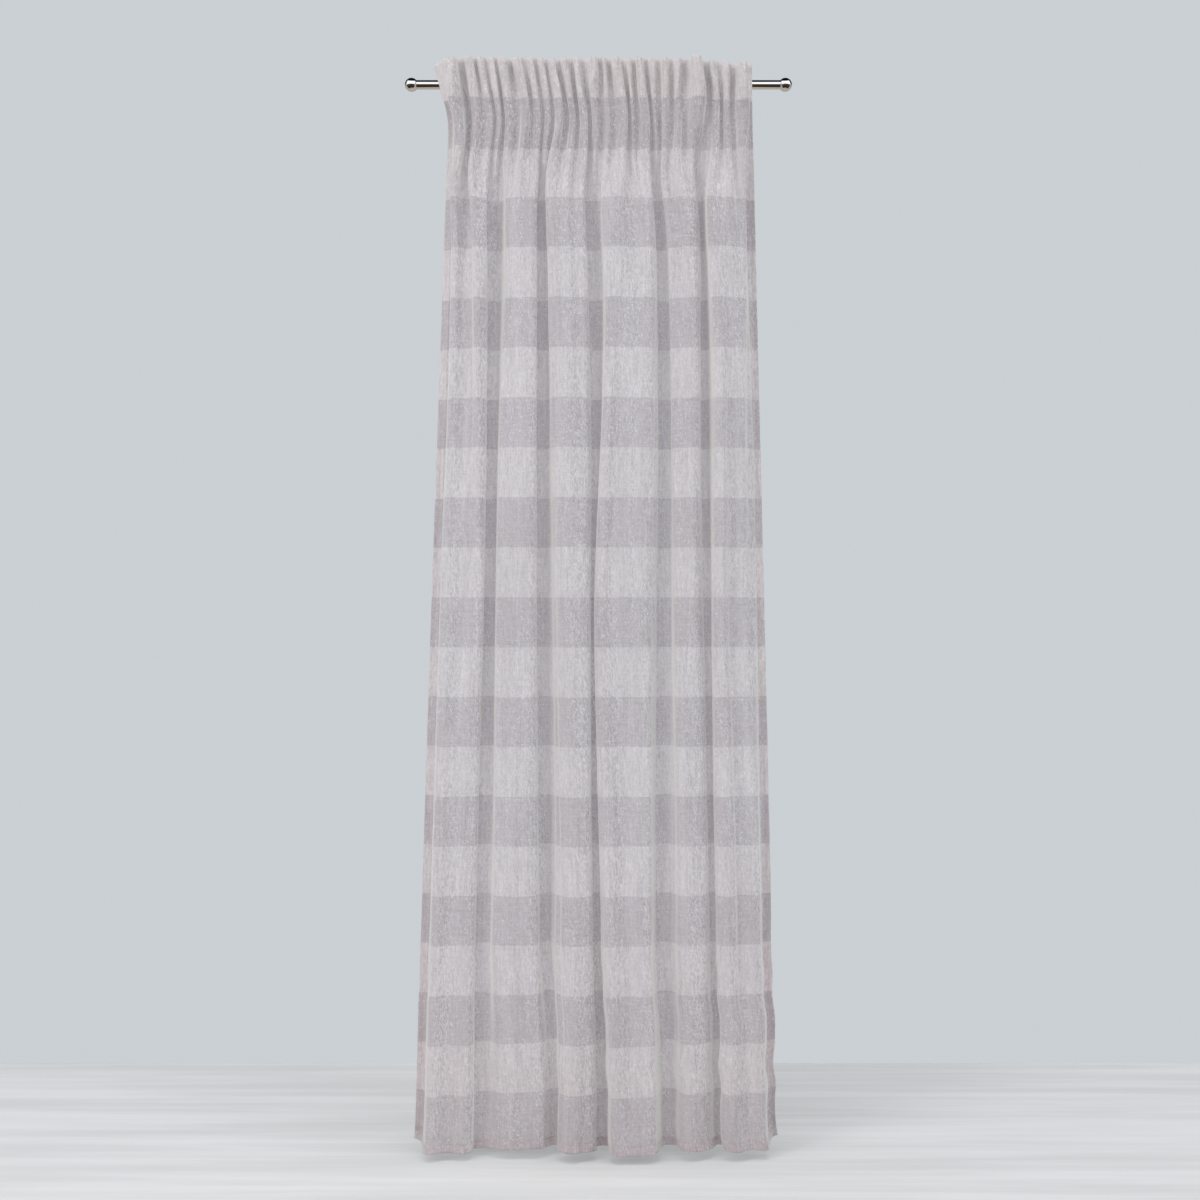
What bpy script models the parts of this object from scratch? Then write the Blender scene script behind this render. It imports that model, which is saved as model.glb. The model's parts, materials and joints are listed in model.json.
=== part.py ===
"""One gathered curtain panel on a chromed rod with ball finials, carried by two wall brackets.

Units are metres and +Z is up. The origin is on the wall, midway between the two brackets and level
with the rod. The wall is the plane y = 0, and the curtain hangs on its -Y side.
"""

from math import acos, atan2, cos, hypot, pi, radians, sin

import bmesh
import bpy
from mathutils import Vector

# Clearance left between neighbouring pieces.
GAP = 0.0003

# How far a cutting shape runs past the face it opens.
OVERCUT = 0.002
SKIN = 0.0001

# Rod: a plain round tube, its axis level and parallel to the wall.
ROD_Y = -0.085
ROD_RADIUS = 0.010
ROD_WALL = 0.001
ROD_HALF = 0.408
ROD_STEPS = 28

# Finials: a ball seated on each tube end, held by a ribbed plug pushed into the tube.
BALL_RADIUS = 0.015
BALL_SEAT = 0.0112
BALL_BORE_RADIUS = 0.0053
BALL_BORE_END = 0.0005
PLUG_NOSE_RADIUS = BALL_BORE_RADIUS - GAP
PLUG_NOSE_LENGTH = 0.0103
PLUG_LENGTH = 0.020
PLUG_BODY_RADIUS = 0.0080
PLUG_RIB_RADIUS = ROD_RADIUS - ROD_WALL - GAP
PLUG_RIBS = 3
PLUG_RIB_SLOPE = 0.2
BALL_STEPS = 24
PLUG_STEPS = 18

# Brackets: a round wall plate, a turned arm and an open cup that the rod lies in.
BRACKET_X = 0.322
PLATE_RADIUS = 0.025
PLATE_THICKNESS = 0.004
PLATE_CHAMFER = 0.001
PLATE_SCREW_SPACING = 0.030
PLATE_SCREW_RADIUS = 0.0024
PLATE_SINK_RADIUS = 0.0046
PLATE_SINK_DEPTH = 0.0022
PLATE_STEPS = 48
HOLE_STEPS = 24
ARM_RADIUS = 0.006
ARM_CHAMFER = 0.0006
ARM_STEPS = 32
SPIGOT_RADIUS = 0.004
CUP_INNER = ROD_RADIUS + GAP
CUP_OUTER = 0.0123
CUP_WIDTH = 0.012
CUP_TOP = 0.004
CHANNEL_TOP = 0.020
CUP_ARC_STEPS = 20
BOSS_RADIUS = 0.007
BOSS_STEPS = 32
BOSS_START = 0.006
BOSS_END = 0.0208
BOSS_BORE_DEPTH = 0.007
SCREW_BOSS_RADIUS = 0.005
SCREW_BOSS_LOW = 0.0175
LOCK_SHANK_RADIUS = 0.002
LOCK_HEAD_RADIUS = 0.0048
LOCK_HEAD_HEIGHT = 0.006
LOCK_HEAD_FLUTES = 12
LOCK_FLUTE_DEPTH = 0.0005

# Curtain: finished drop, and how far its edges lie from the middle of the rod.
TOP_Z = 0.050
DROP = 2.45
BOTTOM_Z = TOP_Z - DROP
WAIST_Z = -0.080
LEFT_TOP, LEFT_WAIST, LEFT_BOTTOM = -0.369, -0.334, -0.415
RIGHT_TOP, RIGHT_WAIST, RIGHT_BOTTOM = 0.3425, 0.3435, 0.402
FLARE_POWER = 0.9
CLOTH_THICKNESS = 0.0006
HEM_THICKNESS = 0.0012
HEM_HEIGHT = 0.020
SIDE_HEM_COLUMNS = 3
BOTTOM_HEM_ROWS = 1
TAPE_ROWS = 3
SIDE_HEM_GAP = 0.001
FOLD_HALF_DEPTH_TOP = 0.008
FOLD_HALF_DEPTH_BOTTOM = 0.030
COLUMNS_PER_FOLD = 6
CLOTH_ROWS = 10
ROW_POWER = 1.8

# Heading tape and the loops sewn to its back, which carry the curtain on the rod.
LOOP_COUNT = 12
LOOP_END_X = 0.300
LOOP_PITCH = 2 * LOOP_END_X / (LOOP_COUNT - 1)
LOOP_WIDTH = 0.015
LOOP_THICKNESS = 0.001
LOOP_RADIUS = 0.0112
LOOP_LEAVES_TAPE = 0.013
LOOP_CORNER = 0.001
LOOP_EAR_END = 0.030
LOOP_ARC_STEPS = 10
TAPE_THICKNESS = 0.0006
TAPE_TOP = TOP_Z - 0.006
TAPE_HEIGHT = 0.085
TAPE_MARGIN_SHARE = 0.004
TAPE_BEHIND_CLOTH = 0.0028
TAPE_FRONT_OF_ROD = LOOP_RADIUS + LOOP_THICKNESS / 2 + GAP + TAPE_THICKNESS / 2
CLOTH_FRONT_OF_ROD = TAPE_FRONT_OF_ROD + TAPE_BEHIND_CLOTH


def clear_scene():
    """Remove every object, so that the script can run in any open file."""
    for obj in list(bpy.data.objects):
        bpy.data.objects.remove(obj, do_unlink=True)


def new_collection(name, hidden=False):
    """Make a collection under the scene's own."""
    collection = bpy.data.collections.new(name)
    bpy.context.scene.collection.children.link(collection)
    collection.hide_render = hidden
    return collection


def make_material(name, colour, roughness, metallic=0.0):
    """One Principled material."""
    material = bpy.data.materials.new(name)
    material.use_nodes = True
    shader = material.node_tree.nodes["Principled BSDF"]
    shader.inputs["Base Color"].default_value = (*colour, 1.0)
    shader.inputs["Roughness"].default_value = roughness
    shader.inputs["Metallic"].default_value = metallic
    return material


def link(name, data, collection, parent=None, location=(0, 0, 0), rotation=(0, 0, 0)):
    """Make an object from its data and place it under its parent."""
    obj = bpy.data.objects.new(name, data)
    collection.objects.link(obj)
    obj.parent = parent
    obj.location = location
    obj.rotation_euler = rotation
    return obj


def add_part(name, data, material, parent, location=(0, 0, 0), rotation=(0, 0, 0)):
    """Make a part with its material in the curtain's collection."""
    data.materials.clear()
    data.materials.append(material)
    return link(name, data, PARTS, parent, location, rotation)


def as_cutter(obj):
    """Show a Boolean operand as a wire and keep it out of renders."""
    obj.display_type = "WIRE"
    obj.hide_render = True
    return obj


def combine(obj, operand, operation):
    """Join another solid to a part, or cut it away."""
    modifier = obj.modifiers.new(operand.name, "BOOLEAN")
    modifier.operation = operation
    modifier.object = operand
    modifier.solver = "EXACT"


def smooth(mesh, angle=35.0):
    """Shade round faces smooth and keep real edges sharp."""
    mesh.shade_smooth()
    mesh.set_sharp_from_angle(angle=radians(angle))


def cylinder_mesh(name, radius, low, high, segments=24, top_radius=None):
    """A cylinder or cone along Z from low to high."""
    bm = bmesh.new()
    bmesh.ops.create_cone(
        bm,
        cap_ends=True,
        segments=segments,
        radius1=radius,
        radius2=radius if top_radius is None else top_radius,
        depth=high - low,
    )
    bmesh.ops.translate(bm, verts=bm.verts, vec=(0, 0, (low + high) / 2))
    mesh = bpy.data.meshes.new(name)
    bm.to_mesh(mesh)
    bm.free()
    smooth(mesh)
    return mesh


def profile_mesh(name, points, closed=False):
    """The half section of a turned piece, as (radius, height) pairs running down its outer side."""
    mesh = bpy.data.meshes.new(name)
    edges = [(i, i + 1) for i in range(len(points) - 1)]
    if closed:
        edges.append((len(points) - 1, 0))
    mesh.from_pydata([(radius, 0, height) for radius, height in points], edges, [])
    return mesh


def turn(obj, steps):
    """Turn a half section round its own Z axis."""
    screw = obj.modifiers.new("Turned", "SCREW")
    screw.axis = "Z"
    screw.angle = 2 * pi
    screw.steps = steps
    screw.render_steps = steps
    screw.use_merge_vertices = True
    screw.merge_threshold = 0.00005
    screw.use_smooth_shade = True


def channel_outline(radius, top):
    """A U-shaped outline: half a circle below, straight sides up to the top, as (across, up)."""
    arc = [
        (radius * cos(-pi * i / CUP_ARC_STEPS), radius * sin(-pi * i / CUP_ARC_STEPS))
        for i in range(CUP_ARC_STEPS + 1)
    ]
    return [(radius, top), *arc, (-radius, top)]


def extruded_outline(name, points, width, collection, parent, location):
    """A flat outline in the YZ plane, extruded to both sides along X and turned into a mesh object."""
    curve = bpy.data.curves.new(name, "CURVE")
    curve.dimensions = "2D"
    curve.fill_mode = "BOTH"
    curve.extrude = width / 2
    spline = curve.splines.new("POLY")
    spline.points.add(len(points) - 1)
    for point, (across, up) in zip(spline.points, points):
        point.co = (across, up, 0, 1)
    spline.use_cyclic_u = True
    drawn = link(name + "_outline", curve, collection, parent, location, (pi / 2, 0, pi / 2))
    bpy.context.view_layer.update()
    evaluated = drawn.evaluated_get(bpy.context.evaluated_depsgraph_get())
    mesh = bpy.data.meshes.new_from_object(evaluated)
    mesh.name = name
    bm = bmesh.new()
    bm.from_mesh(mesh)
    bmesh.ops.remove_doubles(bm, verts=bm.verts, dist=0.00001)
    bmesh.ops.recalc_face_normals(bm, faces=bm.faces)
    bm.to_mesh(mesh)
    bm.free()
    smooth(mesh)
    solid = link(name, mesh, collection)
    solid.matrix_world = drawn.matrix_world.copy()
    bpy.data.objects.remove(drawn, do_unlink=True)
    return solid


def grid_sheet(name, columns, rows, place):
    """A grid of faces whose corners are put where place(u, v) says, with u and v from 0 to 1."""
    bm = bmesh.new()
    bmesh.ops.create_grid(bm, x_segments=columns, y_segments=rows, size=0.5)
    for vert in bm.verts:
        vert.co = place(vert.co.x + 0.5, vert.co.y + 0.5)
    mesh = bpy.data.meshes.new(name)
    bm.to_mesh(mesh)
    bm.free()
    smooth(mesh)
    return mesh


def thicken(obj, thickness):
    """Give a sheet its thickness, half to each side."""
    solidify = obj.modifiers.new("Thickness", "SOLIDIFY")
    solidify.thickness = thickness
    solidify.offset = 0.0


# ---------------------------------------------------------------------------
# Rod and finials
# ---------------------------------------------------------------------------


def build_rod():
    """The tube, open at both ends."""
    inner = ROD_RADIUS - ROD_WALL
    section = [(ROD_RADIUS, ROD_HALF), (ROD_RADIUS, -ROD_HALF), (inner, -ROD_HALF), (inner, ROD_HALF)]
    mesh = profile_mesh("rod_tube", section, closed=True)
    rod = add_part("rod_tube", mesh, CHROME, ROD_AXIS, rotation=(0, pi / 2, 0))
    turn(rod, ROD_STEPS)


def ball_section():
    """Half section of a ball with a flat seat below and a blind bore up from the seat."""
    seat_radius = (BALL_RADIUS**2 - BALL_SEAT**2) ** 0.5
    seat_angle = atan2(seat_radius, -BALL_SEAT)
    arcs = BALL_STEPS // 2
    points = []
    for i in range(arcs + 1):
        angle = seat_angle * i / arcs
        points.append((BALL_RADIUS * sin(angle), BALL_RADIUS * cos(angle)))
    points.append((BALL_BORE_RADIUS, -BALL_SEAT))
    points.append((BALL_BORE_RADIUS, BALL_BORE_END))
    points.append((0.0, BALL_BORE_END))
    return points


def plug_section():
    """Half section of the plug: a nose in the ball above, a ribbed body in the tube below."""
    points = [(0.0, PLUG_NOSE_LENGTH), (PLUG_NOSE_RADIUS, PLUG_NOSE_LENGTH), (PLUG_NOSE_RADIUS, 0.0)]
    rib = PLUG_LENGTH / (2 * PLUG_RIBS + 1)
    depth = 0.0
    for _ in range(PLUG_RIBS):
        points.append((PLUG_BODY_RADIUS, depth))
        points.append((PLUG_BODY_RADIUS, depth - rib))
        points.append((PLUG_RIB_RADIUS, depth - (1 + PLUG_RIB_SLOPE) * rib))
        points.append((PLUG_RIB_RADIUS, depth - (2 - PLUG_RIB_SLOPE) * rib))
        depth -= 2 * rib
    points.append((PLUG_BODY_RADIUS, depth))
    points.append((PLUG_BODY_RADIUS, -PLUG_LENGTH))
    points.append((0.0, -PLUG_LENGTH))
    return points


def build_finial(side, direction):
    """The ball and its plug on one tube end, both turned about the rod's axis."""
    rotation = (0, direction * pi / 2, 0)
    seat_x = direction * (ROD_HALF + GAP)
    ball_x = seat_x + direction * BALL_SEAT
    ball_mesh = profile_mesh(f"finial_ball_{side}", ball_section())
    ball = add_part(f"finial_ball_{side}", ball_mesh, CHROME, ROD_AXIS, (ball_x, 0, 0), rotation)
    turn(ball, BALL_STEPS)
    plug_mesh = profile_mesh(f"finial_plug_{side}", plug_section())
    plug = add_part(f"finial_plug_{side}", plug_mesh, PLASTIC, ROD_AXIS, (seat_x, 0, 0), rotation)
    turn(plug, PLUG_STEPS)


# ---------------------------------------------------------------------------
# Brackets
# ---------------------------------------------------------------------------


def build_wall_plate(side, x):
    """A round plate with a middle hole for the arm and two countersunk screw holes."""
    hole = SPIGOT_RADIUS + GAP
    front = PLATE_THICKNESS
    section = [
        (hole, front),
        (PLATE_RADIUS - PLATE_CHAMFER, front),
        (PLATE_RADIUS, front - PLATE_CHAMFER),
        (PLATE_RADIUS, 0.0),
        (hole, 0.0),
    ]
    mesh = profile_mesh(f"wall_plate_{side}", section, closed=True)
    facing_room = (pi / 2, 0, 0)
    plate = add_part(f"wall_plate_{side}", mesh, CHROME, WALL_LINE, (x, 0, 0), facing_room)
    turn(plate, PLATE_STEPS)
    for end in (-1, 1):
        tag = f"wall_plate_{side}_{'low' if end < 0 else 'high'}"
        place = (x, 0, end * PLATE_SCREW_SPACING / 2)
        through = cylinder_mesh(tag + "_hole", PLATE_SCREW_RADIUS, -OVERCUT, front + OVERCUT, HOLE_STEPS)
        sink_low = front - PLATE_SINK_DEPTH
        sink = cylinder_mesh(
            tag + "_sink", PLATE_SCREW_RADIUS, sink_low, front + SKIN, HOLE_STEPS, PLATE_SINK_RADIUS
        )
        for cutter_mesh in (through, sink):
            cutter = link(cutter_mesh.name, cutter_mesh, CUTTERS, WALL_LINE, place, facing_room)
            combine(plate, as_cutter(cutter), "DIFFERENCE")


def build_arm(side, x):
    """A turned arm with a spigot at each end, one in the wall plate and one in the cup's boss."""
    wall_face = PLATE_THICKNESS + GAP
    boss_face = -ROD_Y - BOSS_END - GAP
    wall_end = 2 * GAP
    cup_end = boss_face + BOSS_BORE_DEPTH - GAP
    section = [
        (0.0, cup_end),
        (SPIGOT_RADIUS, cup_end),
        (SPIGOT_RADIUS, boss_face),
        (ARM_RADIUS - ARM_CHAMFER, boss_face),
        (ARM_RADIUS, boss_face - ARM_CHAMFER),
        (ARM_RADIUS, wall_face + ARM_CHAMFER),
        (ARM_RADIUS - ARM_CHAMFER, wall_face),
        (SPIGOT_RADIUS, wall_face),
        (SPIGOT_RADIUS, wall_end),
        (0.0, wall_end),
    ]
    mesh = profile_mesh(f"bracket_arm_{side}", section)
    arm = add_part(f"bracket_arm_{side}", mesh, CHROME, WALL_LINE, (x, 0, 0), (pi / 2, 0, 0))
    turn(arm, ARM_STEPS)


def build_cup(side, x):
    """An open cup with a boss for the arm behind it and a boss for the lock screw below it."""
    place = (x, ROD_Y, 0)
    name = f"rod_cup_{side}"
    cup = extruded_outline(name, channel_outline(CUP_OUTER, CUP_TOP), CUP_WIDTH, PARTS, WALL_LINE, place)
    cup.data.materials.append(CHROME)
    cup.parent = WALL_LINE
    to_wall = (-pi / 2, 0, 0)
    back_mesh = cylinder_mesh(name + "_back_boss", BOSS_RADIUS, BOSS_START, BOSS_END, BOSS_STEPS)
    back = link(back_mesh.name, back_mesh, CUTTERS, WALL_LINE, place, to_wall)
    combine(cup, as_cutter(back), "UNION")
    low_mesh = cylinder_mesh(name + "_low_boss", SCREW_BOSS_RADIUS, -SCREW_BOSS_LOW, -BOSS_START, BOSS_STEPS)
    low = link(low_mesh.name, low_mesh, CUTTERS, WALL_LINE, place)
    combine(cup, as_cutter(low), "UNION")
    channel = extruded_outline(
        name + "_channel", channel_outline(CUP_INNER, CHANNEL_TOP), 2 * CUP_WIDTH, CUTTERS, WALL_LINE, place
    )
    combine(cup, as_cutter(channel), "DIFFERENCE")
    bore_start = BOSS_END - BOSS_BORE_DEPTH
    bore_end = BOSS_END + OVERCUT
    bore_mesh = cylinder_mesh(name + "_arm_bore", SPIGOT_RADIUS + GAP, bore_start, bore_end, HOLE_STEPS)
    bore = link(bore_mesh.name, bore_mesh, CUTTERS, WALL_LINE, place, to_wall)
    combine(cup, as_cutter(bore), "DIFFERENCE")
    hole_mesh = cylinder_mesh(
        name + "_screw_hole", LOCK_SHANK_RADIUS + GAP, -SCREW_BOSS_LOW - OVERCUT, -BOSS_START, HOLE_STEPS
    )
    hole = link(hole_mesh.name, hole_mesh, CUTTERS, WALL_LINE, place)
    combine(cup, as_cutter(hole), "DIFFERENCE")


def build_lock_screw(side, x):
    """A thumb screw up through the cup's lower boss, its tip just under the tube."""
    head_top = SCREW_BOSS_LOW + GAP
    tip = head_top - ROD_RADIUS - GAP
    shank_low = -LOCK_HEAD_HEIGHT / 2
    shank_mesh = cylinder_mesh(f"lock_screw_{side}", LOCK_SHANK_RADIUS, shank_low, tip, HOLE_STEPS)
    place = (x, ROD_Y, -head_top)
    screw = add_part(f"lock_screw_{side}", shank_mesh, CHROME, WALL_LINE, place)
    bm = bmesh.new()
    bmesh.ops.create_cone(
        bm,
        cap_ends=True,
        segments=2 * LOCK_HEAD_FLUTES,
        radius1=LOCK_HEAD_RADIUS,
        radius2=LOCK_HEAD_RADIUS,
        depth=LOCK_HEAD_HEIGHT,
    )
    half_step = pi / LOCK_HEAD_FLUTES
    for vert in bm.verts:
        around = atan2(vert.co.y, vert.co.x)
        if round(around / half_step) % 2:
            shrink = 1 - LOCK_FLUTE_DEPTH / LOCK_HEAD_RADIUS
            vert.co.x *= shrink
            vert.co.y *= shrink
    bmesh.ops.translate(bm, verts=bm.verts, vec=(0, 0, -LOCK_HEAD_HEIGHT / 2))
    head_mesh = bpy.data.meshes.new(f"lock_screw_{side}_head")
    bm.to_mesh(head_mesh)
    bm.free()
    head = link(head_mesh.name, head_mesh, CUTTERS, WALL_LINE, place)
    combine(screw, as_cutter(head), "UNION")


# ---------------------------------------------------------------------------
# Curtain
# ---------------------------------------------------------------------------


def edge_x(z, top, waist, bottom):
    """Where one side edge of the curtain hangs at height z."""
    if z > WAIST_Z:
        return waist + (top - waist) * (z - WAIST_Z) / (TOP_Z - WAIST_Z)
    return waist + (bottom - waist) * ((WAIST_Z - z) / (WAIST_Z - BOTTOM_Z)) ** FLARE_POWER


def cloth_place(share, z, behind=0.0):
    """The hanging cloth's middle surface: share is 0 at the left edge and 1 at the right."""
    left = edge_x(z, LEFT_TOP, LEFT_WAIST, LEFT_BOTTOM)
    right = edge_x(z, RIGHT_TOP, RIGHT_WAIST, RIGHT_BOTTOM)
    left_at_rod = edge_x(0.0, LEFT_TOP, LEFT_WAIST, LEFT_BOTTOM)
    right_at_rod = edge_x(0.0, RIGHT_TOP, RIGHT_WAIST, RIGHT_BOTTOM)
    x_at_rod = left_at_rod + share * (right_at_rod - left_at_rod)
    turns = (x_at_rod + LOOP_END_X) / LOOP_PITCH
    down = max(0.0, (WAIST_Z - z) / (WAIST_Z - BOTTOM_Z))
    half_depth = FOLD_HALF_DEPTH_TOP + (FOLD_HALF_DEPTH_BOTTOM - FOLD_HALF_DEPTH_TOP) * down**0.7
    middle = -CLOTH_FRONT_OF_ROD - FOLD_HALF_DEPTH_TOP
    y = middle + half_depth * cos(2 * pi * turns) + behind
    return Vector((left + share * (right - left), y, z))


def cloth_piece(name, material, thickness, shares, heights, columns, rows, row_power=1.0, behind=0.0):
    """A closed piece of the hanging cloth between two shares of its width and two heights."""
    (share_a, share_b), (top, bottom) = shares, heights

    def place(u, v):
        share = share_a + (share_b - share_a) * u
        return cloth_place(share, top + (bottom - top) * v**row_power, behind)

    mesh = grid_sheet(name, columns, rows, place)
    thicken(add_part(name, mesh, material, SWING_AXIS), thickness)


def build_cloth():
    """The panel, its side hems, its bottom hem and the heading tape behind its top."""
    left_at_rod = edge_x(0.0, LEFT_TOP, LEFT_WAIST, LEFT_BOTTOM)
    width_at_rod = edge_x(0.0, RIGHT_TOP, RIGHT_WAIST, RIGHT_BOTTOM) - left_at_rod
    columns = round(width_at_rod / LOOP_PITCH * COLUMNS_PER_FOLD)
    gap_share = SIDE_HEM_GAP / width_at_rod
    body_heights = (TOP_Z, BOTTOM_Z + HEM_HEIGHT + GAP)
    ridge_x = LOOP_END_X + LOOP_PITCH / 2
    left_inner = (-ridge_x - left_at_rod) / width_at_rod
    right_inner = (ridge_x - left_at_rod) / width_at_rod
    cloth_piece(
        "curtain_panel", CLOTH, CLOTH_THICKNESS, (left_inner, right_inner), body_heights, columns, CLOTH_ROWS,
        ROW_POWER,
    )
    cloth_piece(
        "side_hem_left", HEM, HEM_THICKNESS, (0.0, left_inner - gap_share), body_heights, SIDE_HEM_COLUMNS,
        CLOTH_ROWS, ROW_POWER,
    )
    cloth_piece(
        "side_hem_right", HEM, HEM_THICKNESS, (right_inner + gap_share, 1.0), body_heights, SIDE_HEM_COLUMNS,
        CLOTH_ROWS, ROW_POWER,
    )
    cloth_piece(
        "bottom_hem", HEM, HEM_THICKNESS, (0.0, 1.0), (BOTTOM_Z + HEM_HEIGHT, BOTTOM_Z), columns,
        BOTTOM_HEM_ROWS,
    )
    cloth_piece(
        "heading_tape", TAPE, TAPE_THICKNESS, (TAPE_MARGIN_SHARE, 1.0 - TAPE_MARGIN_SHARE),
        (TAPE_TOP, TAPE_TOP - TAPE_HEIGHT), columns, TAPE_ROWS, 1.0, TAPE_BEHIND_CLOTH,
    )


def loop_path():
    """The strap's route as (y, z) from the rod's axis: down the tape, over the rod, round it and back."""
    corner = (-LOOP_RADIUS, LOOP_LEAVES_TAPE)
    reach = hypot(*corner)
    start = atan2(corner[1], corner[0]) - acos(LOOP_RADIUS / reach)
    upper = [(-LOOP_RADIUS, LOOP_EAR_END), (-LOOP_RADIUS, LOOP_LEAVES_TAPE + LOOP_CORNER)]
    upper.append((-LOOP_RADIUS + LOOP_CORNER, LOOP_LEAVES_TAPE - SKIN))
    arc = []
    for i in range(LOOP_ARC_STEPS + 1):
        angle = start - 2 * start * i / LOOP_ARC_STEPS
        arc.append((LOOP_RADIUS * cos(angle), LOOP_RADIUS * sin(angle)))
    lower = [(y, -z) for y, z in reversed(upper)]
    return upper + arc + lower


def build_loops():
    """Twelve straps along the tape, each open to both sides so that the rod passes through."""
    path = loop_path()
    steps = len(path) - 1

    def place(u, v):
        y, z = path[round(v * steps)]
        return Vector(((u - 0.5) * LOOP_WIDTH, y, z))

    for number in range(LOOP_COUNT):
        name = f"loop_{number + 1:02d}"
        mesh = grid_sheet(name, 1, steps, place)
        x = -LOOP_END_X + number * LOOP_PITCH
        loop = add_part(name, mesh, WEBBING, SWING_AXIS, (x, 0, 0))
        thicken(loop, LOOP_THICKNESS)


clear_scene()
PARTS = new_collection("curtain_on_rod")
CUTTERS = new_collection("cutters", hidden=True)
CHROME = make_material("chrome", (0.80, 0.80, 0.82), 0.08, 1.0)
PLASTIC = make_material("black_plastic", (0.03, 0.03, 0.03), 0.5)
CLOTH = make_material("sheer_cloth", (0.62, 0.58, 0.60), 0.85)
HEM = make_material("doubled_cloth", (0.58, 0.54, 0.56), 0.85)
TAPE = make_material("heading_tape", (0.80, 0.79, 0.78), 0.8)
WEBBING = make_material("loop_webbing", (0.82, 0.81, 0.80), 0.8)
WALL_LINE = link("wall_line", None, PARTS)
ROD_AXIS = link("rod_axis", None, PARTS, WALL_LINE, (0, ROD_Y, 0))
SWING_AXIS = link("swing_axis", None, PARTS, ROD_AXIS)

build_rod()
for side_name, outward in (("left", -1), ("right", 1)):
    build_finial(side_name, outward)
    build_wall_plate(side_name, outward * BRACKET_X)
    build_arm(side_name, outward * BRACKET_X)
    build_cup(side_name, outward * BRACKET_X)
    build_lock_screw(side_name, outward * BRACKET_X)
build_cloth()
build_loops()
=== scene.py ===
"""Sews a gathered sheer curtain on its chromed rod, and sets the pieces up in a plain studio."""

import json
from math import cos, pi, radians, sin

import bpy
import numpy as np
from bpy.props import FloatProperty, FloatVectorProperty, IntProperty, PointerProperty
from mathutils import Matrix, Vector

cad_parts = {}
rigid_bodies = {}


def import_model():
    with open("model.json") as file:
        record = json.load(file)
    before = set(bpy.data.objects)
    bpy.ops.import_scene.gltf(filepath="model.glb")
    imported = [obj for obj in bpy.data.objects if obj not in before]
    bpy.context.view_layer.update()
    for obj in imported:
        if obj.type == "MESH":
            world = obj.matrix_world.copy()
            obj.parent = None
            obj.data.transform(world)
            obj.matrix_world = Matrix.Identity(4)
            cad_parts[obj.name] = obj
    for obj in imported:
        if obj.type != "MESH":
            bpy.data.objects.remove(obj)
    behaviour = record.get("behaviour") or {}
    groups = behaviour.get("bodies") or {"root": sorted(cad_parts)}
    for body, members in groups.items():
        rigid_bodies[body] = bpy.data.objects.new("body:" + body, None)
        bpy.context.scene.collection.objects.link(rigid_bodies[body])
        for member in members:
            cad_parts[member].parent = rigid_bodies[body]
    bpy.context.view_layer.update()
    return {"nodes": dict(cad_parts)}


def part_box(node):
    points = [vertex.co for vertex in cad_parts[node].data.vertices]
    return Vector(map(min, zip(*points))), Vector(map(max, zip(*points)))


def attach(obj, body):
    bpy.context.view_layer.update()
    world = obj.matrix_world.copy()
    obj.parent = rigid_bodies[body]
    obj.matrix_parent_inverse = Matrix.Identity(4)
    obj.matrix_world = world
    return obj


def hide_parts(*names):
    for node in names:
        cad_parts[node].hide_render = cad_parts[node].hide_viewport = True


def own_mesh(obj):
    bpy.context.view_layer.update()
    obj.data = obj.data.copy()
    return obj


bl_info = {
    "name": "Curtain on a Rod",
    "version": (1, 0, 0),
    "blender": (4, 5, 0),
    "location": "3D View > Sidebar > Curtain",
    "description": "Sews a gathered sheer curtain and dresses the chromed rod that carries it",
    "category": "Object",
}

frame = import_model()

CLOTH_UV = "cloth"
# How a primitive that stands along Z is turned to lie along each axis.
AXIS_TURNS = {"X": (0, pi / 2, 0), "Y": (pi / 2, 0, 0), "Z": (0, 0, 0)}
LOOP_NODES = sorted(name for name in frame["nodes"] if name.startswith("loop_"))


def middle(node):
    """The middle of a node's box."""
    low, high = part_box(node)
    return (low + high) / 2


def span(node, axis):
    """A node's lowest and highest value along one axis."""
    low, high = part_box(node)
    return low[axis], high[axis]


ROD_MIDDLE = middle("rod_tube")
ROD_RADIUS = (span("rod_tube", 2)[1] - span("rod_tube", 2)[0]) / 2
ROD_ENDS = span("rod_tube", 0)
TOP_Z = span("curtain_panel", 2)[1]
BOTTOM_Z = span("bottom_hem", 2)[0]
LOOP_XS = [middle(name).x for name in LOOP_NODES]
LOOP_LOW, LOOP_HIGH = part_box(LOOP_NODES[0])
LOOP_FRONT_Y = LOOP_LOW.y


# ---------------------------------------------------------------------------
# Sizes and colours that a user would change
# ---------------------------------------------------------------------------


def length(name, description, default):
    """A size in metres."""
    return FloatProperty(
        name=name, description=description, default=default, min=0.0, unit="LENGTH", precision=4
    )


def colour(name, description, default):
    """A colour, as linear red, green and blue."""
    return FloatVectorProperty(
        name=name, description=description, default=default, subtype="COLOR", size=3, min=0.0, max=1.0
    )


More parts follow.
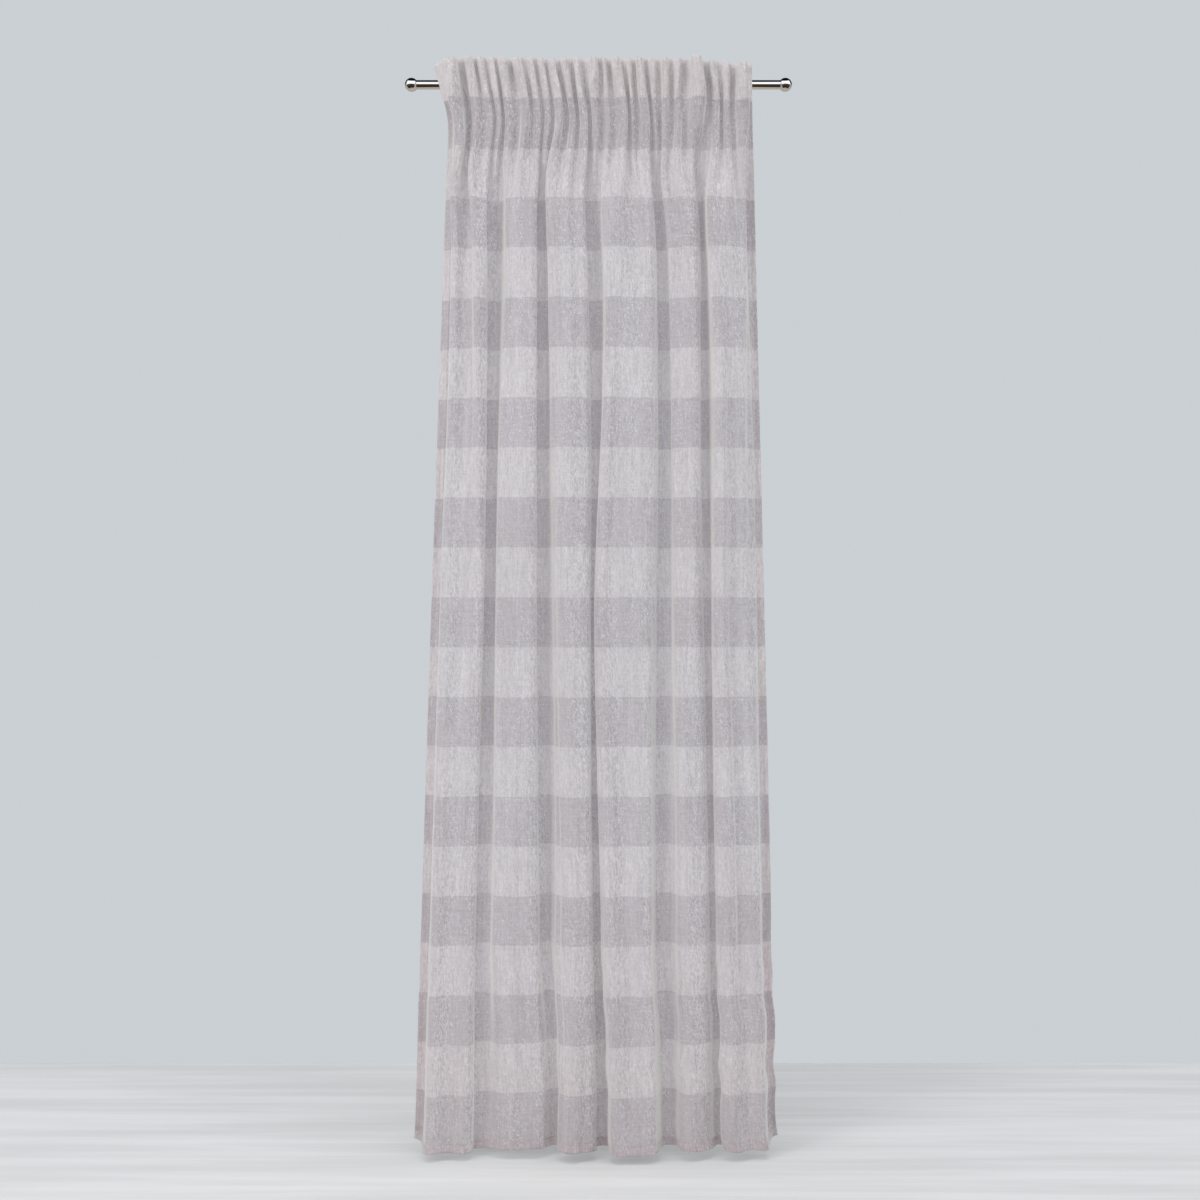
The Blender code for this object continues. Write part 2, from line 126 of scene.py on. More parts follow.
class CurtainSizes(bpy.types.PropertyGroup):
    """Sizes of the cloth before and after it is hung."""

    flat_width: length("Flat width", "Width of the panel before it is gathered", 1.20)
    header_height: length("Header height", "Pale strip from the top edge to the first band", 0.089)
    band_pitch: length("Band pitch", "Distance from one dark band's top to the next", 0.222)
    band_height: length("Band height", "Height of one dark band", 0.111)
    band_count: IntProperty(name="Bands", description="Number of dark bands", default=11, min=1)
    hem_height: length("Bottom hem", "Height of the turned hem", 0.020)
    side_hem: length("Side hem", "Width of each turned side hem", 0.020)
    tape_inset: length("Tape inset", "Distance from the top edge to the heading tape", 0.006)
    tape_height: length("Tape height", "Height of the heading tape", 0.085)
    columns: IntProperty(name="Columns", description="Faces across the panel", default=640, min=50)
    rows: IntProperty(name="Rows", description="Faces down the panel", default=150, min=20)


class CurtainColours(bpy.types.PropertyGroup):
    """Colours of the cloth, tape and metal."""

    light: colour("Light cloth", "Cloth between the bands", (0.815, 0.765, 0.775))
    dark: colour("Dark cloth", "Cloth in the bands", (0.685, 0.635, 0.655))
    blush: colour("Blush", "Warm cast of the header and the hem", (0.775, 0.680, 0.685))
    # Painted highlight: where the cloth is seen edge on, its colour is painted towards this pale colour,
    # so the fold edges look lit.
    edge: colour("Fold edge", "Cloth seen edge on, where its threads crowd together", (0.97, 0.95, 0.90))
    # Painted highlight: the silver thread's glints are painted in this near white colour.
    silver: colour("Silver thread", "Metallic thread in the cloth", (0.98, 0.98, 1.0))
    tape: colour("Tape", "Heading tape and loops", (0.78, 0.76, 0.74))
    stitch: colour("Stitches", "Sewing thread", (0.72, 0.69, 0.69))
    chrome: colour("Chrome", "Rod, finials and brackets", (0.78, 0.78, 0.80))
    plastic: colour("Plug", "Plastic plugs in the tube ends", (0.02, 0.02, 0.022))


# ---------------------------------------------------------------------------
# Node groups and materials
# ---------------------------------------------------------------------------


class Board:
    """A node tree with short ways to add and join nodes."""

    def __init__(self, tree):
        self.tree = tree

    def add(self, kind, inputs=None, **settings):
        """Add a node, set its properties, and fill or join its inputs."""
        node = self.tree.nodes.new(kind)
        for key, value in settings.items():
            setattr(node, key, value)
        for key, value in (inputs or {}).items():
            self.feed(node.inputs[key], value)
        return node

    def feed(self, socket, value):
        """Join a socket to another, or give it a value."""
        if isinstance(value, bpy.types.NodeSocket):
            self.tree.links.new(value, socket)
        else:
            socket.default_value = value

    def math(self, operation, first, second=0.0, third=0.0, clamp=False):
        """A Math node's result."""
        inputs = {0: first, 1: second, 2: third}
        return self.add("ShaderNodeMath", inputs, operation=operation, use_clamp=clamp).outputs[0]

    def mixed(self, first, first_share, second, second_share):
        """Two values added, each times its share."""
        first = self.math("MULTIPLY", first, first_share)
        return self.math("ADD", first, self.math("MULTIPLY", second, second_share))

    def ramp(self, value, low, high):
        """Smoothly from 0 at low to 1 at high."""
        inputs = {"Value": value, "From Min": low, "From Max": high}
        return self.add("ShaderNodeMapRange", inputs, interpolation_type="SMOOTHSTEP").outputs["Result"]

    def blend(self, factor, first, second, kind="MIX"):
        """Two colours mixed."""
        node = self.add("ShaderNodeMix", data_type="RGBA", blend_type=kind)
        self.feed(node.inputs["Factor"], factor)
        self.feed(node.inputs["A"], first)
        self.feed(node.inputs["B"], second)
        return node.outputs["Result"]

    def scaled(self, vector, scale):
        """A pattern's place, scaled along each axis."""
        inputs = {"Vector": vector, "Scale": scale}
        return self.add("ShaderNodeMapping", inputs).outputs["Vector"]

    def noise(self, vector, scale, detail=2.0, roughness=0.5):
        """Noise at so many features a metre along each axis."""
        place = self.scaled(vector, scale)
        inputs = {"Vector": place, "Scale": 1.0, "Detail": detail, "Roughness": roughness}
        return self.add("ShaderNodeTexNoise", inputs).outputs["Fac"]

    def toned(self, dyed, tone):
        """A colour times a grey tone."""
        inputs = {"Red": tone, "Green": tone, "Blue": tone}
        grey = self.add("ShaderNodeCombineColor", inputs).outputs[0]
        return self.blend(1.0, dyed, grey, "MULTIPLY")

    def raise_surface(self, shader, height, strength, distance):
        """Give a shader a fine relief, and hand back the normal it makes."""
        inputs = {"Strength": strength, "Distance": distance, "Height": height}
        normal = self.add("ShaderNodeBump", inputs).outputs["Normal"]
        self.feed(shader.inputs["Normal"], normal)
        return normal


def opaque(rgb):
    """A colour with full alpha, as a colour socket takes it."""
    return (*rgb, 1.0)


def new_group(name, inputs, outputs):
    """An empty shader node group with its named sockets, and its input and output nodes."""
    tree = bpy.data.node_groups.new(name, "ShaderNodeTree")
    for label, kind, value in inputs:
        socket = tree.interface.new_socket(name=label, in_out="INPUT", socket_type=kind)
        if value is not None:
            socket.default_value = value
    for label, kind in outputs:
        tree.interface.new_socket(name=label, in_out="OUTPUT", socket_type=kind)
    board = Board(tree)
    return board, board.add("NodeGroupInput").outputs, board.add("NodeGroupOutput").inputs


FLOAT, VECTOR = "NodeSocketFloat", "NodeSocketVector"


def make_bands_group():
    """Dark bands across the cloth, with edges that stray by a thread or two."""
    board, given, out = new_group(
        "woven bands",
        [
            ("Vector", VECTOR, None),
            ("Start", FLOAT, 0.09),
            ("Pitch", FLOAT, 0.22),
            ("Height", FLOAT, 0.11),
            ("Count", FLOAT, 11.0),
        ],
        [("Mask", FLOAT)],
    )
    place = board.add("ShaderNodeSeparateXYZ", {0: given["Vector"]}).outputs
    wander = 0.0015
    wavering = board.noise(given["Vector"], (260, 2, 1))
    stray = board.math("MULTIPLY_ADD", wavering, 2 * wander, -wander)
    down = board.math("ADD", board.math("SUBTRACT", place["Y"], given["Start"]), stray)
    turn = board.math("DIVIDE", down, given["Pitch"])
    within = board.math("MULTIPLY", board.math("FRACT", turn), given["Pitch"])
    edge, edge_turn = 0.0009, 0.002
    opens = board.ramp(within, -edge, edge)
    closes = board.ramp(board.math("SUBTRACT", within, given["Height"]), edge, -edge)
    below_start = board.ramp(turn, -edge_turn, edge_turn)
    above_end = board.ramp(board.math("SUBTRACT", turn, given["Count"]), edge_turn, -edge_turn)
    band = board.math("MULTIPLY", opens, closes)
    limits = board.math("MULTIPLY", below_start, above_end)
    board.feed(out["Mask"], board.math("MULTIPLY", band, limits))
    return board.tree


def make_slub_group():
    """Uneven threads down and across the cloth: thick slubs, thin places and faint columns."""
    board, given, out = new_group(
        "slub threads",
        [("Vector", VECTOR, None), ("Across", FLOAT, 0.5)],
        [("Shade", FLOAT), ("Height", FLOAT), ("Gaps", FLOAT)],
    )
    vector = given["Vector"]
    columns = board.noise(vector, (42, 2.0, 1), 3.0, 0.6)
    warp = board.noise(vector, (170, 16, 1), 4.0, 0.75)
    warp_fine = board.noise(vector, (620, 70, 1), 3.0, 0.7)
    weft = board.noise(vector, (22, 240, 1), 4.0, 0.75)
    weft_fine = board.noise(vector, (90, 760, 1), 3.0, 0.7)
    down = board.mixed(warp, 0.6, warp_fine, 0.4)
    over = board.mixed(weft, 0.6, weft_fine, 0.4)
    share = given["Across"]
    threads = board.mixed(down, board.math("SUBTRACT", 1.0, share), over, share)
    board.feed(out["Shade"], board.mixed(threads, 0.8, columns, 0.2))
    board.feed(out["Height"], board.math("ADD", down, over))
    board.feed(out["Gaps"], board.ramp(board.math("MULTIPLY", down, over), 0.14, 0.34))
    return board.tree


def make_fleck_group():
    """Short glints of metallic thread, gathered in loose columns down the cloth: the places where the
    cloth's painted glints go.
    """
    board, given, out = new_group(
        "silver flecks",
        [
            ("Vector", VECTOR, None),
            ("Share", FLOAT, 0.1),
            ("Across", FLOAT, 370.0),
            ("Down", FLOAT, 165.0),
        ],
        [("Mask", FLOAT), ("Strength", FLOAT), ("Tilt", FLOAT), ("Grain", FLOAT)],
    )
    vector = given["Vector"]
    place = board.add("ShaderNodeSeparateXYZ", {0: vector}).outputs
    cell = board.add(
        "ShaderNodeCombineXYZ",
        {
            "X": board.math("MULTIPLY", place["X"], given["Across"]),
            "Y": board.math("MULTIPLY", place["Y"], given["Down"]),
        },
    ).outputs[0]
    voronoi = board.add("ShaderNodeTexVoronoi", {"Vector": cell, "Scale": 1.0}, voronoi_dimensions="2D")
    picked = board.add("ShaderNodeSeparateColor", {0: voronoi.outputs["Color"]}).outputs
    columns = board.ramp(board.noise(vector, (34, 2.2, 1), 4.0, 0.62), 0.36, 0.68)
    threshold = board.math("SUBTRACT", 1.0, board.math("MULTIPLY", given["Share"], columns))
    chosen = board.math("GREATER_THAN", picked["Red"], threshold)
    near = board.ramp(voronoi.outputs["Distance"], 0.50, 0.25)
    board.feed(out["Mask"], board.math("MULTIPLY", chosen, near))
    board.feed(out["Strength"], picked["Green"])
    board.feed(out["Tilt"], board.math("MULTIPLY", picked["Blue"], 2.0))
    board.feed(out["Grain"], board.math("SUBTRACT", picked["Green"], 0.5))
    return board.tree


def make_weave_group():
    """The height of a plain weave at a stated thread pitch."""
    board, given, out = new_group(
        "plain weave", [("Vector", VECTOR, None), ("Pitch", FLOAT, 0.0008)], [("Height", FLOAT)]
    )
    place = board.add("ShaderNodeSeparateXYZ", {0: given["Vector"]}).outputs
    across = board.math("MULTIPLY", board.math("DIVIDE", place["X"], given["Pitch"]), pi)
    down = board.math("MULTIPLY", board.math("DIVIDE", place["Y"], given["Pitch"]), pi)
    wave_across = board.math("SINE", across)
    wave_down = board.math("SINE", down)
    threads = board.math(
        "MAXIMUM", board.math("ABSOLUTE", wave_across), board.math("ABSOLUTE", wave_down)
    )
    over_under = board.math("MULTIPLY", wave_across, wave_down)
    board.feed(out["Height"], board.math("MULTIPLY_ADD", over_under, 0.3, threads))
    return board.tree


def make_sewn_group():
    """One line of straight stitches across the cloth."""
    board, given, out = new_group(
        "sewn line",
        [
            ("Vector", VECTOR, None),
            ("Down", FLOAT, 0.01),
            ("Length", FLOAT, 0.0036),
            ("Half width", FLOAT, 0.0004),
        ],
        [("Mask", FLOAT)],
    )
    place = board.add("ShaderNodeSeparateXYZ", {0: given["Vector"]}).outputs
    away = board.math("ABSOLUTE", board.math("SUBTRACT", place["Y"], given["Down"]))
    line = board.ramp(board.math("DIVIDE", away, given["Half width"]), 1.2, 0.8)
    within = board.math("FRACT", board.math("DIVIDE", place["X"], given["Length"]))
    dash = board.ramp(board.math("ABSOLUTE", board.math("SUBTRACT", within, 0.5)), 0.42, 0.34)
    board.feed(out["Mask"], board.math("MULTIPLY", line, dash))
    return board.tree


def make_smudge_group():
    """Fine wipe marks and faint smudges on bright metal, as a roughness."""
    board, given, out = new_group(
        "wiped metal",
        [("Vector", VECTOR, None), ("Base", FLOAT, 0.06), ("Amount", FLOAT, 0.10)],
        [("Roughness", FLOAT), ("Height", FLOAT)],
    )
    smudge = board.ramp(board.noise(given["Vector"], (35, 35, 35), 4.0, 0.6), 0.45, 0.75)
    wipes = board.noise(given["Vector"], (60, 900, 900), 3.0, 0.7)
    marks = board.mixed(smudge, 0.7, wipes, 0.3)
    board.feed(out["Roughness"], board.math("MULTIPLY_ADD", marks, given["Amount"], given["Base"]))
    board.feed(out["Height"], wipes)
    return board.tree


class Finishes:
    """The node groups and materials, each made once."""

    # How much of the light that meets the cloth goes on through it, and the share that the tape stops.
    LIGHT_THROUGH = 0.40
    STOPPED_BY_TAPE = 0.50
    # How far down the header's warm cast and the painted shade at the top reach, and how far up the
    # hem's warm cast does.
    TOP_CAST = 0.50
    LOW_CAST = 0.85
    # How much the turned hem takes a dark band's colour, and how softly that begins.
    HEM_AS_BAND = 0.7
    HEM_SOFTNESS = 0.012
    # Thread pitches of the cloth and of the tape, and the spacing and zigzag of the webbing's rib.
    CLOTH_PITCH = 0.0007
    TAPE_PITCH = 0.0011
    RIB_PITCH = 0.0016
    RIB_ZIGZAG = 0.0025

    def __init__(self, sizes, colours):
        self.sizes = sizes
        self.colours = colours
        self.bands = make_bands_group()
        self.slubs = make_slub_group()
        self.flecks = make_fleck_group()
        self.weave = make_weave_group()
        self.sewn = make_sewn_group()
        self.smudges = make_smudge_group()
        self.cloth = self.make_cloth("banded sheer", 0.0, 0.90, 0.97, 1.0)
        self.hem = self.make_cloth("turned hem", 0.10, 0.985, 1.0, 1.07)
        self.tape = self.make_tape()
        self.webbing = self.make_webbing()
        self.stitch = self.make_stitch()
        self.chrome = self.make_metal("bright chrome", 0.035, 0.10)
        self.bracket = self.make_metal("bracket chrome", 0.07, 0.14)
        self.plug = self.make_plastic()

    def start(self, name):
        """A new material with its Principled shader."""
        material = bpy.data.materials.new(name)
        material.use_nodes = True
        board = Board(material.node_tree)
        return material, board, material.node_tree.nodes["Principled BSDF"]

    def use(self, board, tree, **inputs):
        """Place a node group and give it its values."""
        node = board.add("ShaderNodeGroup", node_tree=tree)
        for key, value in inputs.items():
            board.feed(node.inputs[key], value)
        return node.outputs

    def band_mask(self, board, uv, down):
        """How much of a dark band's colour the cloth has at each place."""
        sizes = self.sizes
        band = self.use(
            board,
            self.bands,
            Vector=uv,
            Start=sizes.header_height,
            Pitch=sizes.band_pitch,
            Height=sizes.band_height,
            Count=float(sizes.band_count),
        )["Mask"]
        hem_top = TOP_Z - BOTTOM_Z - HungCloth.HEM_CLEAR - sizes.hem_height
        hem_band = board.ramp(down, hem_top - self.HEM_SOFTNESS, hem_top)
        return board.math("MAXIMUM", band, board.math("MULTIPLY", hem_band, self.HEM_AS_BAND))

    def blush(self, board, uv, down, top_cast, floor):
        """A warm cast in loose patches, strongest at the header and at the hem."""
        drop = TOP_Z - BOTTOM_Z
        low_cast = board.ramp(down, drop - self.LOW_CAST, drop)
        cast = board.math("ADD", top_cast, low_cast)
        cast = board.math("MULTIPLY_ADD", cast, 0.55, floor, clamp=True)
        patch = board.noise(uv, (2.2, 3.5, 1), 2.0)
        cast = board.math("MULTIPLY", cast, board.math("MULTIPLY_ADD", patch, 1.2, 0.3), clamp=True)
        warm = self.ratio(self.colours.blush, self.colours.light)
        return board.blend(cast, opaque((1.0, 1.0, 1.0)), opaque(warm))

    def make_cloth(self, name, blush_floor, thin, thick, tone):
        """Semi-sheer cloth: bands, slubs, silver thread, and gaps that let light through, with painted
        glints, painted light on the fold edges and painted shade towards the top.

        Thin and thick are how far the threads cover the cloth where they are sparse and where they
        are dense. Tone is its brightness.
        """
        material, board, shader = self.start(name)
        colours, header = self.colours, self.sizes.header_height
        uv = board.add("ShaderNodeUVMap", uv_map=CLOTH_UV).outputs["UV"]
        down = board.add("ShaderNodeSeparateXYZ", {0: uv}).outputs["Y"]
        band = self.band_mask(board, uv, down)
        backed = board.ramp(down, header + 0.006, header - 0.002)
        top_cast = board.ramp(down, self.TOP_CAST, 0.0)

        across = board.math("MULTIPLY_ADD", band, 0.30, 0.25)
        slubs = self.use(board, self.slubs, Vector=uv, Across=across)
        # Painted glints: slopes turned to the right, towards the fill light, get more glints and more
        # glitter.
        turned = board.add("ShaderNodeTexCoord").outputs["Normal"]
        rightward = board.add("ShaderNodeSeparateXYZ", {0: turned}).outputs["X"]
        lit = board.ramp(rightward, -0.25, 0.75)
        share = board.math("MULTIPLY_ADD", lit, 0.80, 0.30)
        flecks = self.use(board, self.flecks, Vector=uv, Share=share)
        brightness = board.math("MULTIPLY_ADD", flecks["Strength"], 0.6, 0.2)
        glint = board.math("MULTIPLY", flecks["Mask"], brightness)

        dyed = board.blend(band, opaque(colours.light), opaque(colours.dark))
        warm = self.blush(board, uv, down, top_cast, blush_floor)
        dyed = board.blend(1.0, dyed, warm, "MULTIPLY")
        shade = board.math("MULTIPLY_ADD", slubs["Shade"], 1.5 * tone, 0.25 * tone)
        # Painted glitter: a speckled shade, stronger on the slopes that face the fill light.
        grain = board.math("MULTIPLY", flecks["Grain"], board.math("MULTIPLY_ADD", lit, 0.2, 0.12))
        shade = board.math("ADD", shade, grain)
        shade = board.math("MULTIPLY_ADD", backed, 0.06, shade)
        # Painted shade: the cloth darkens towards the top.
        shade = board.math("MULTIPLY_ADD", top_cast, -0.07, shade)
        dyed = board.toned(dyed, shade)
        # Painted highlight: where the cloth is seen edge on, its colour is lightened towards the edge
        # colour; the same mask also lets the crowded threads cover more.
        facing = board.add("ShaderNodeLayerWeight", {"Blend": 0.5}).outputs["Facing"]
        crowding_and_edge_light = board.ramp(facing, 0.32, 0.88)
        dyed = board.blend(board.math("MULTIPLY", crowding_and_edge_light, 0.85), dyed, opaque(colours.edge))
        # Painted highlight: the glints are painted near white into the base colour, with only a little
        # metallic.
        base = board.blend(glint, dyed, opaque(colours.silver))
        board.feed(shader.inputs["Base Color"], base)
        board.feed(shader.inputs["Metallic"], board.math("MULTIPLY", glint, 0.15))
        board.feed(shader.inputs["Roughness"], board.math("MULTIPLY_ADD", glint, -0.50, 0.86))

        cover = board.math("MULTIPLY_ADD", slubs["Gaps"], thick - thin, thin)
        cover = board.math("MAXIMUM", cover, board.math("MULTIPLY", crowding_and_edge_light, 0.98))
        board.feed(shader.inputs["Alpha"], board.math("MAXIMUM", cover, glint))
        weave = self.use(board, self.weave, Vector=uv, Pitch=self.CLOTH_PITCH)
        relief = board.math("MULTIPLY_ADD", weave["Height"], 0.25, slubs["Height"])
        relief = board.math("MULTIPLY_ADD", flecks["Tilt"], glint, relief)
        normal = board.raise_surface(shader, relief, 0.8, 0.0011)

        through = board.add("ShaderNodeBsdfTranslucent", {"Color": base, "Normal": normal})
        unbacked = board.math("MULTIPLY_ADD", backed, -self.STOPPED_BY_TAPE, 1.0)
        dull = board.math("SUBTRACT", 1.0, glint)
        passing = board.math("MULTIPLY", board.math("MULTIPLY", dull, self.LIGHT_THROUGH), unbacked)
        inputs = {0: passing, 1: shader.outputs[0], 2: through.outputs[0]}
        mixed = board.add("ShaderNodeMixShader", inputs).outputs[0]
        board.feed(material.node_tree.nodes["Material Output"].inputs["Surface"], mixed)
        shader.inputs["Sheen Weight"].default_value = 0.20
        shader.inputs["Sheen Roughness"].default_value = 0.4
        shader.inputs["Specular IOR Level"].default_value = 0.2
        return material

    @staticmethod
    def ratio(first, second):
        """One colour over another."""
        return tuple(min(1.0, a / b) for a, b in zip(first, second))

    def make_tape(self):
        """Woven heading tape, with the lines that sew it to the cloth."""
        material, board, shader = self.start("heading tape")
        uv = board.add("ShaderNodeUVMap", uv_map=CLOTH_UV).outputs["UV"]
        weave = self.use(board, self.weave, Vector=uv, Pitch=self.TAPE_PITCH)
        dust = board.noise(uv, (40, 60, 1), 3.0)
        tone = board.math("MULTIPLY_ADD", weave["Height"], 0.16, 0.78)
        tone = board.math("MULTIPLY", tone, board.math("MULTIPLY_ADD", dust, 0.16, 0.92))
        dyed = board.toned(opaque(self.colours.tape), tone)
        sewn = 0.0
        for share in CURTAIN_OT_tape.SEWN_LINES:
            down = self.sizes.tape_inset + share * self.sizes.tape_height
            line = self.use(board, self.sewn, Vector=uv, Down=down)["Mask"]
            sewn = board.math("MAXIMUM", sewn, line)
        dyed = board.blend(sewn, dyed, opaque(self.colours.stitch))
        board.feed(shader.inputs["Base Color"], dyed)
        relief = board.math("MULTIPLY_ADD", sewn, -1.5, weave["Height"])
        board.raise_surface(shader, relief, 0.6, 0.0006)
        shader.inputs["Roughness"].default_value = 0.85
        return material

    def make_webbing(self):
        """Strap webbing with a herringbone rib along it."""
        material, board, shader = self.start("loop webbing")
        uv = board.add("ShaderNodeUVMap", uv_map=CLOTH_UV).outputs["UV"]
        place = board.add("ShaderNodeSeparateXYZ", {0: uv}).outputs
        zigzag = board.math("PINGPONG", place["X"], self.RIB_ZIGZAG)
        slanted = board.math("ADD", zigzag, place["Y"])
        rib = board.math("SINE", board.math("MULTIPLY", slanted, 2 * pi / self.RIB_PITCH))
        height = board.math("ADD", rib, board.noise(uv, (900, 900, 1), 2.0))
        tone = board.math("MULTIPLY_ADD", height, 0.06, 0.86)
        board.feed(shader.inputs["Base Color"], board.toned(opaque(self.colours.tape), tone))
        board.raise_surface(shader, height, 0.5, 0.0004)
        shader.inputs["Roughness"].default_value = 0.82
        return material

    def make_stitch(self):
        """Twisted sewing thread."""
        material, board, shader = self.start("sewing thread")
        where = board.add("ShaderNodeTexCoord").outputs["Object"]
        twist = board.noise(where, (3000, 3000, 3000), 2.0)
        tone = board.math("MULTIPLY_ADD", twist, 0.4, 0.75)
        board.feed(shader.inputs["Base Color"], board.toned(opaque(self.colours.stitch), tone))
        shader.inputs["Roughness"].default_value = 0.7
        return material

    def make_metal(self, name, base, amount):
        """Chrome plate with wipe marks: its least roughness, and how much the marks add."""
        material, board, shader = self.start(name)
        where = board.add("ShaderNodeTexCoord").outputs["Object"]
        smudges = self.use(board, self.smudges, Vector=where, Base=base, Amount=amount)
        tone = board.math("MULTIPLY_ADD", board.noise(where, (18, 18, 18), 2.0), 0.06, 0.97)
        board.feed(shader.inputs["Base Color"], board.toned(opaque(self.colours.chrome), tone))
        board.feed(shader.inputs["Roughness"], smudges["Roughness"])
        board.raise_surface(shader, smudges["Height"], 0.02, 0.0002)
        shader.inputs["Metallic"].default_value = 1.0
        return material

    def make_plastic(self):
        """Moulded black plastic with a faint grain."""
        material, board, shader = self.start("plug plastic")
        where = board.add("ShaderNodeTexCoord").outputs["Object"]
        grain = board.noise(where, (1400, 1400, 1400), 2.0)
        tone = board.math("MULTIPLY_ADD", grain, 0.8, 0.6)
        board.feed(shader.inputs["Base Color"], board.toned(opaque(self.colours.plastic), tone))
        board.feed(shader.inputs["Roughness"], board.math("MULTIPLY_ADD", grain, 0.2, 0.42))
        board.raise_surface(shader, grain, 0.2, 0.0001)
        return material


_made = {}


def finishes(context):
    """The finishes, made on first use."""
    if "finishes" not in _made:
        _made["finishes"] = Finishes(context.scene.curtain_sizes, context.scene.curtain_colours)
    return _made["finishes"]


# ---------------------------------------------------------------------------
# How the cloth hangs
# ---------------------------------------------------------------------------


# How many random values the noise draws along a line, and along each side of a square.
LATTICE_ROW = 4096
LATTICE_SIDE = 1024


def lattice_noise(place, seed, cells):
    """Smooth noise from -1 to 1 along one axis, with so many cells in a unit."""
    rng = np.random.default_rng(seed)
    values = rng.uniform(-1, 1, LATTICE_ROW)
    at = np.asarray(place) * cells + LATTICE_ROW / 8
    whole = np.floor(at).astype(int)
    part = at - whole
    part = part * part * (3 - 2 * part)
    return values[whole % LATTICE_ROW] * (1 - part) + values[(whole + 1) % LATTICE_ROW] * part


def surface_noise(across, down, seed, cells_across, cells_down):
    """Smooth noise from -1 to 1 over the cloth, with so many cells in a metre each way."""
    rng = np.random.default_rng(seed)
    values = rng.uniform(-1, 1, (LATTICE_SIDE, LATTICE_SIDE))
    column_at = across * cells_across + LATTICE_SIDE / 16
    row_at = down * cells_down + LATTICE_SIDE / 16
    column, row = np.floor(column_at).astype(int), np.floor(row_at).astype(int)
    right, low = column_at - column, row_at - row
    right, low = right * right * (3 - 2 * right), low * low * (3 - 2 * low)
    column, next_column = column % LATTICE_SIDE, (column + 1) % LATTICE_SIDE
    row, next_row = row % LATTICE_SIDE, (row + 1) % LATTICE_SIDE
    upper = values[row, column] * (1 - right) + values[row, next_column] * right
    lower = values[next_row, column] * (1 - right) + values[next_row, next_column] * right
    return upper * (1 - low) + lower * low


def ease(value, low, high):
    """Smoothly from 0 at low to 1 at high."""
    t = np.clip((np.asarray(value, float) - low) / (high - low), 0, 1)
    return t * t * (3 - 2 * t)


def softened(values, step, width):
    """A row of values smoothed over a width, with its ends held."""
    reach = max(1, int(round(width / step)))
    kernel = np.hanning(2 * reach + 3)[1:-1]
    kernel /= kernel.sum()
    padded = np.concatenate([np.full(reach, values[0]), values, np.full(reach, values[-1])])
    return np.convolve(padded, kernel, mode="valid")


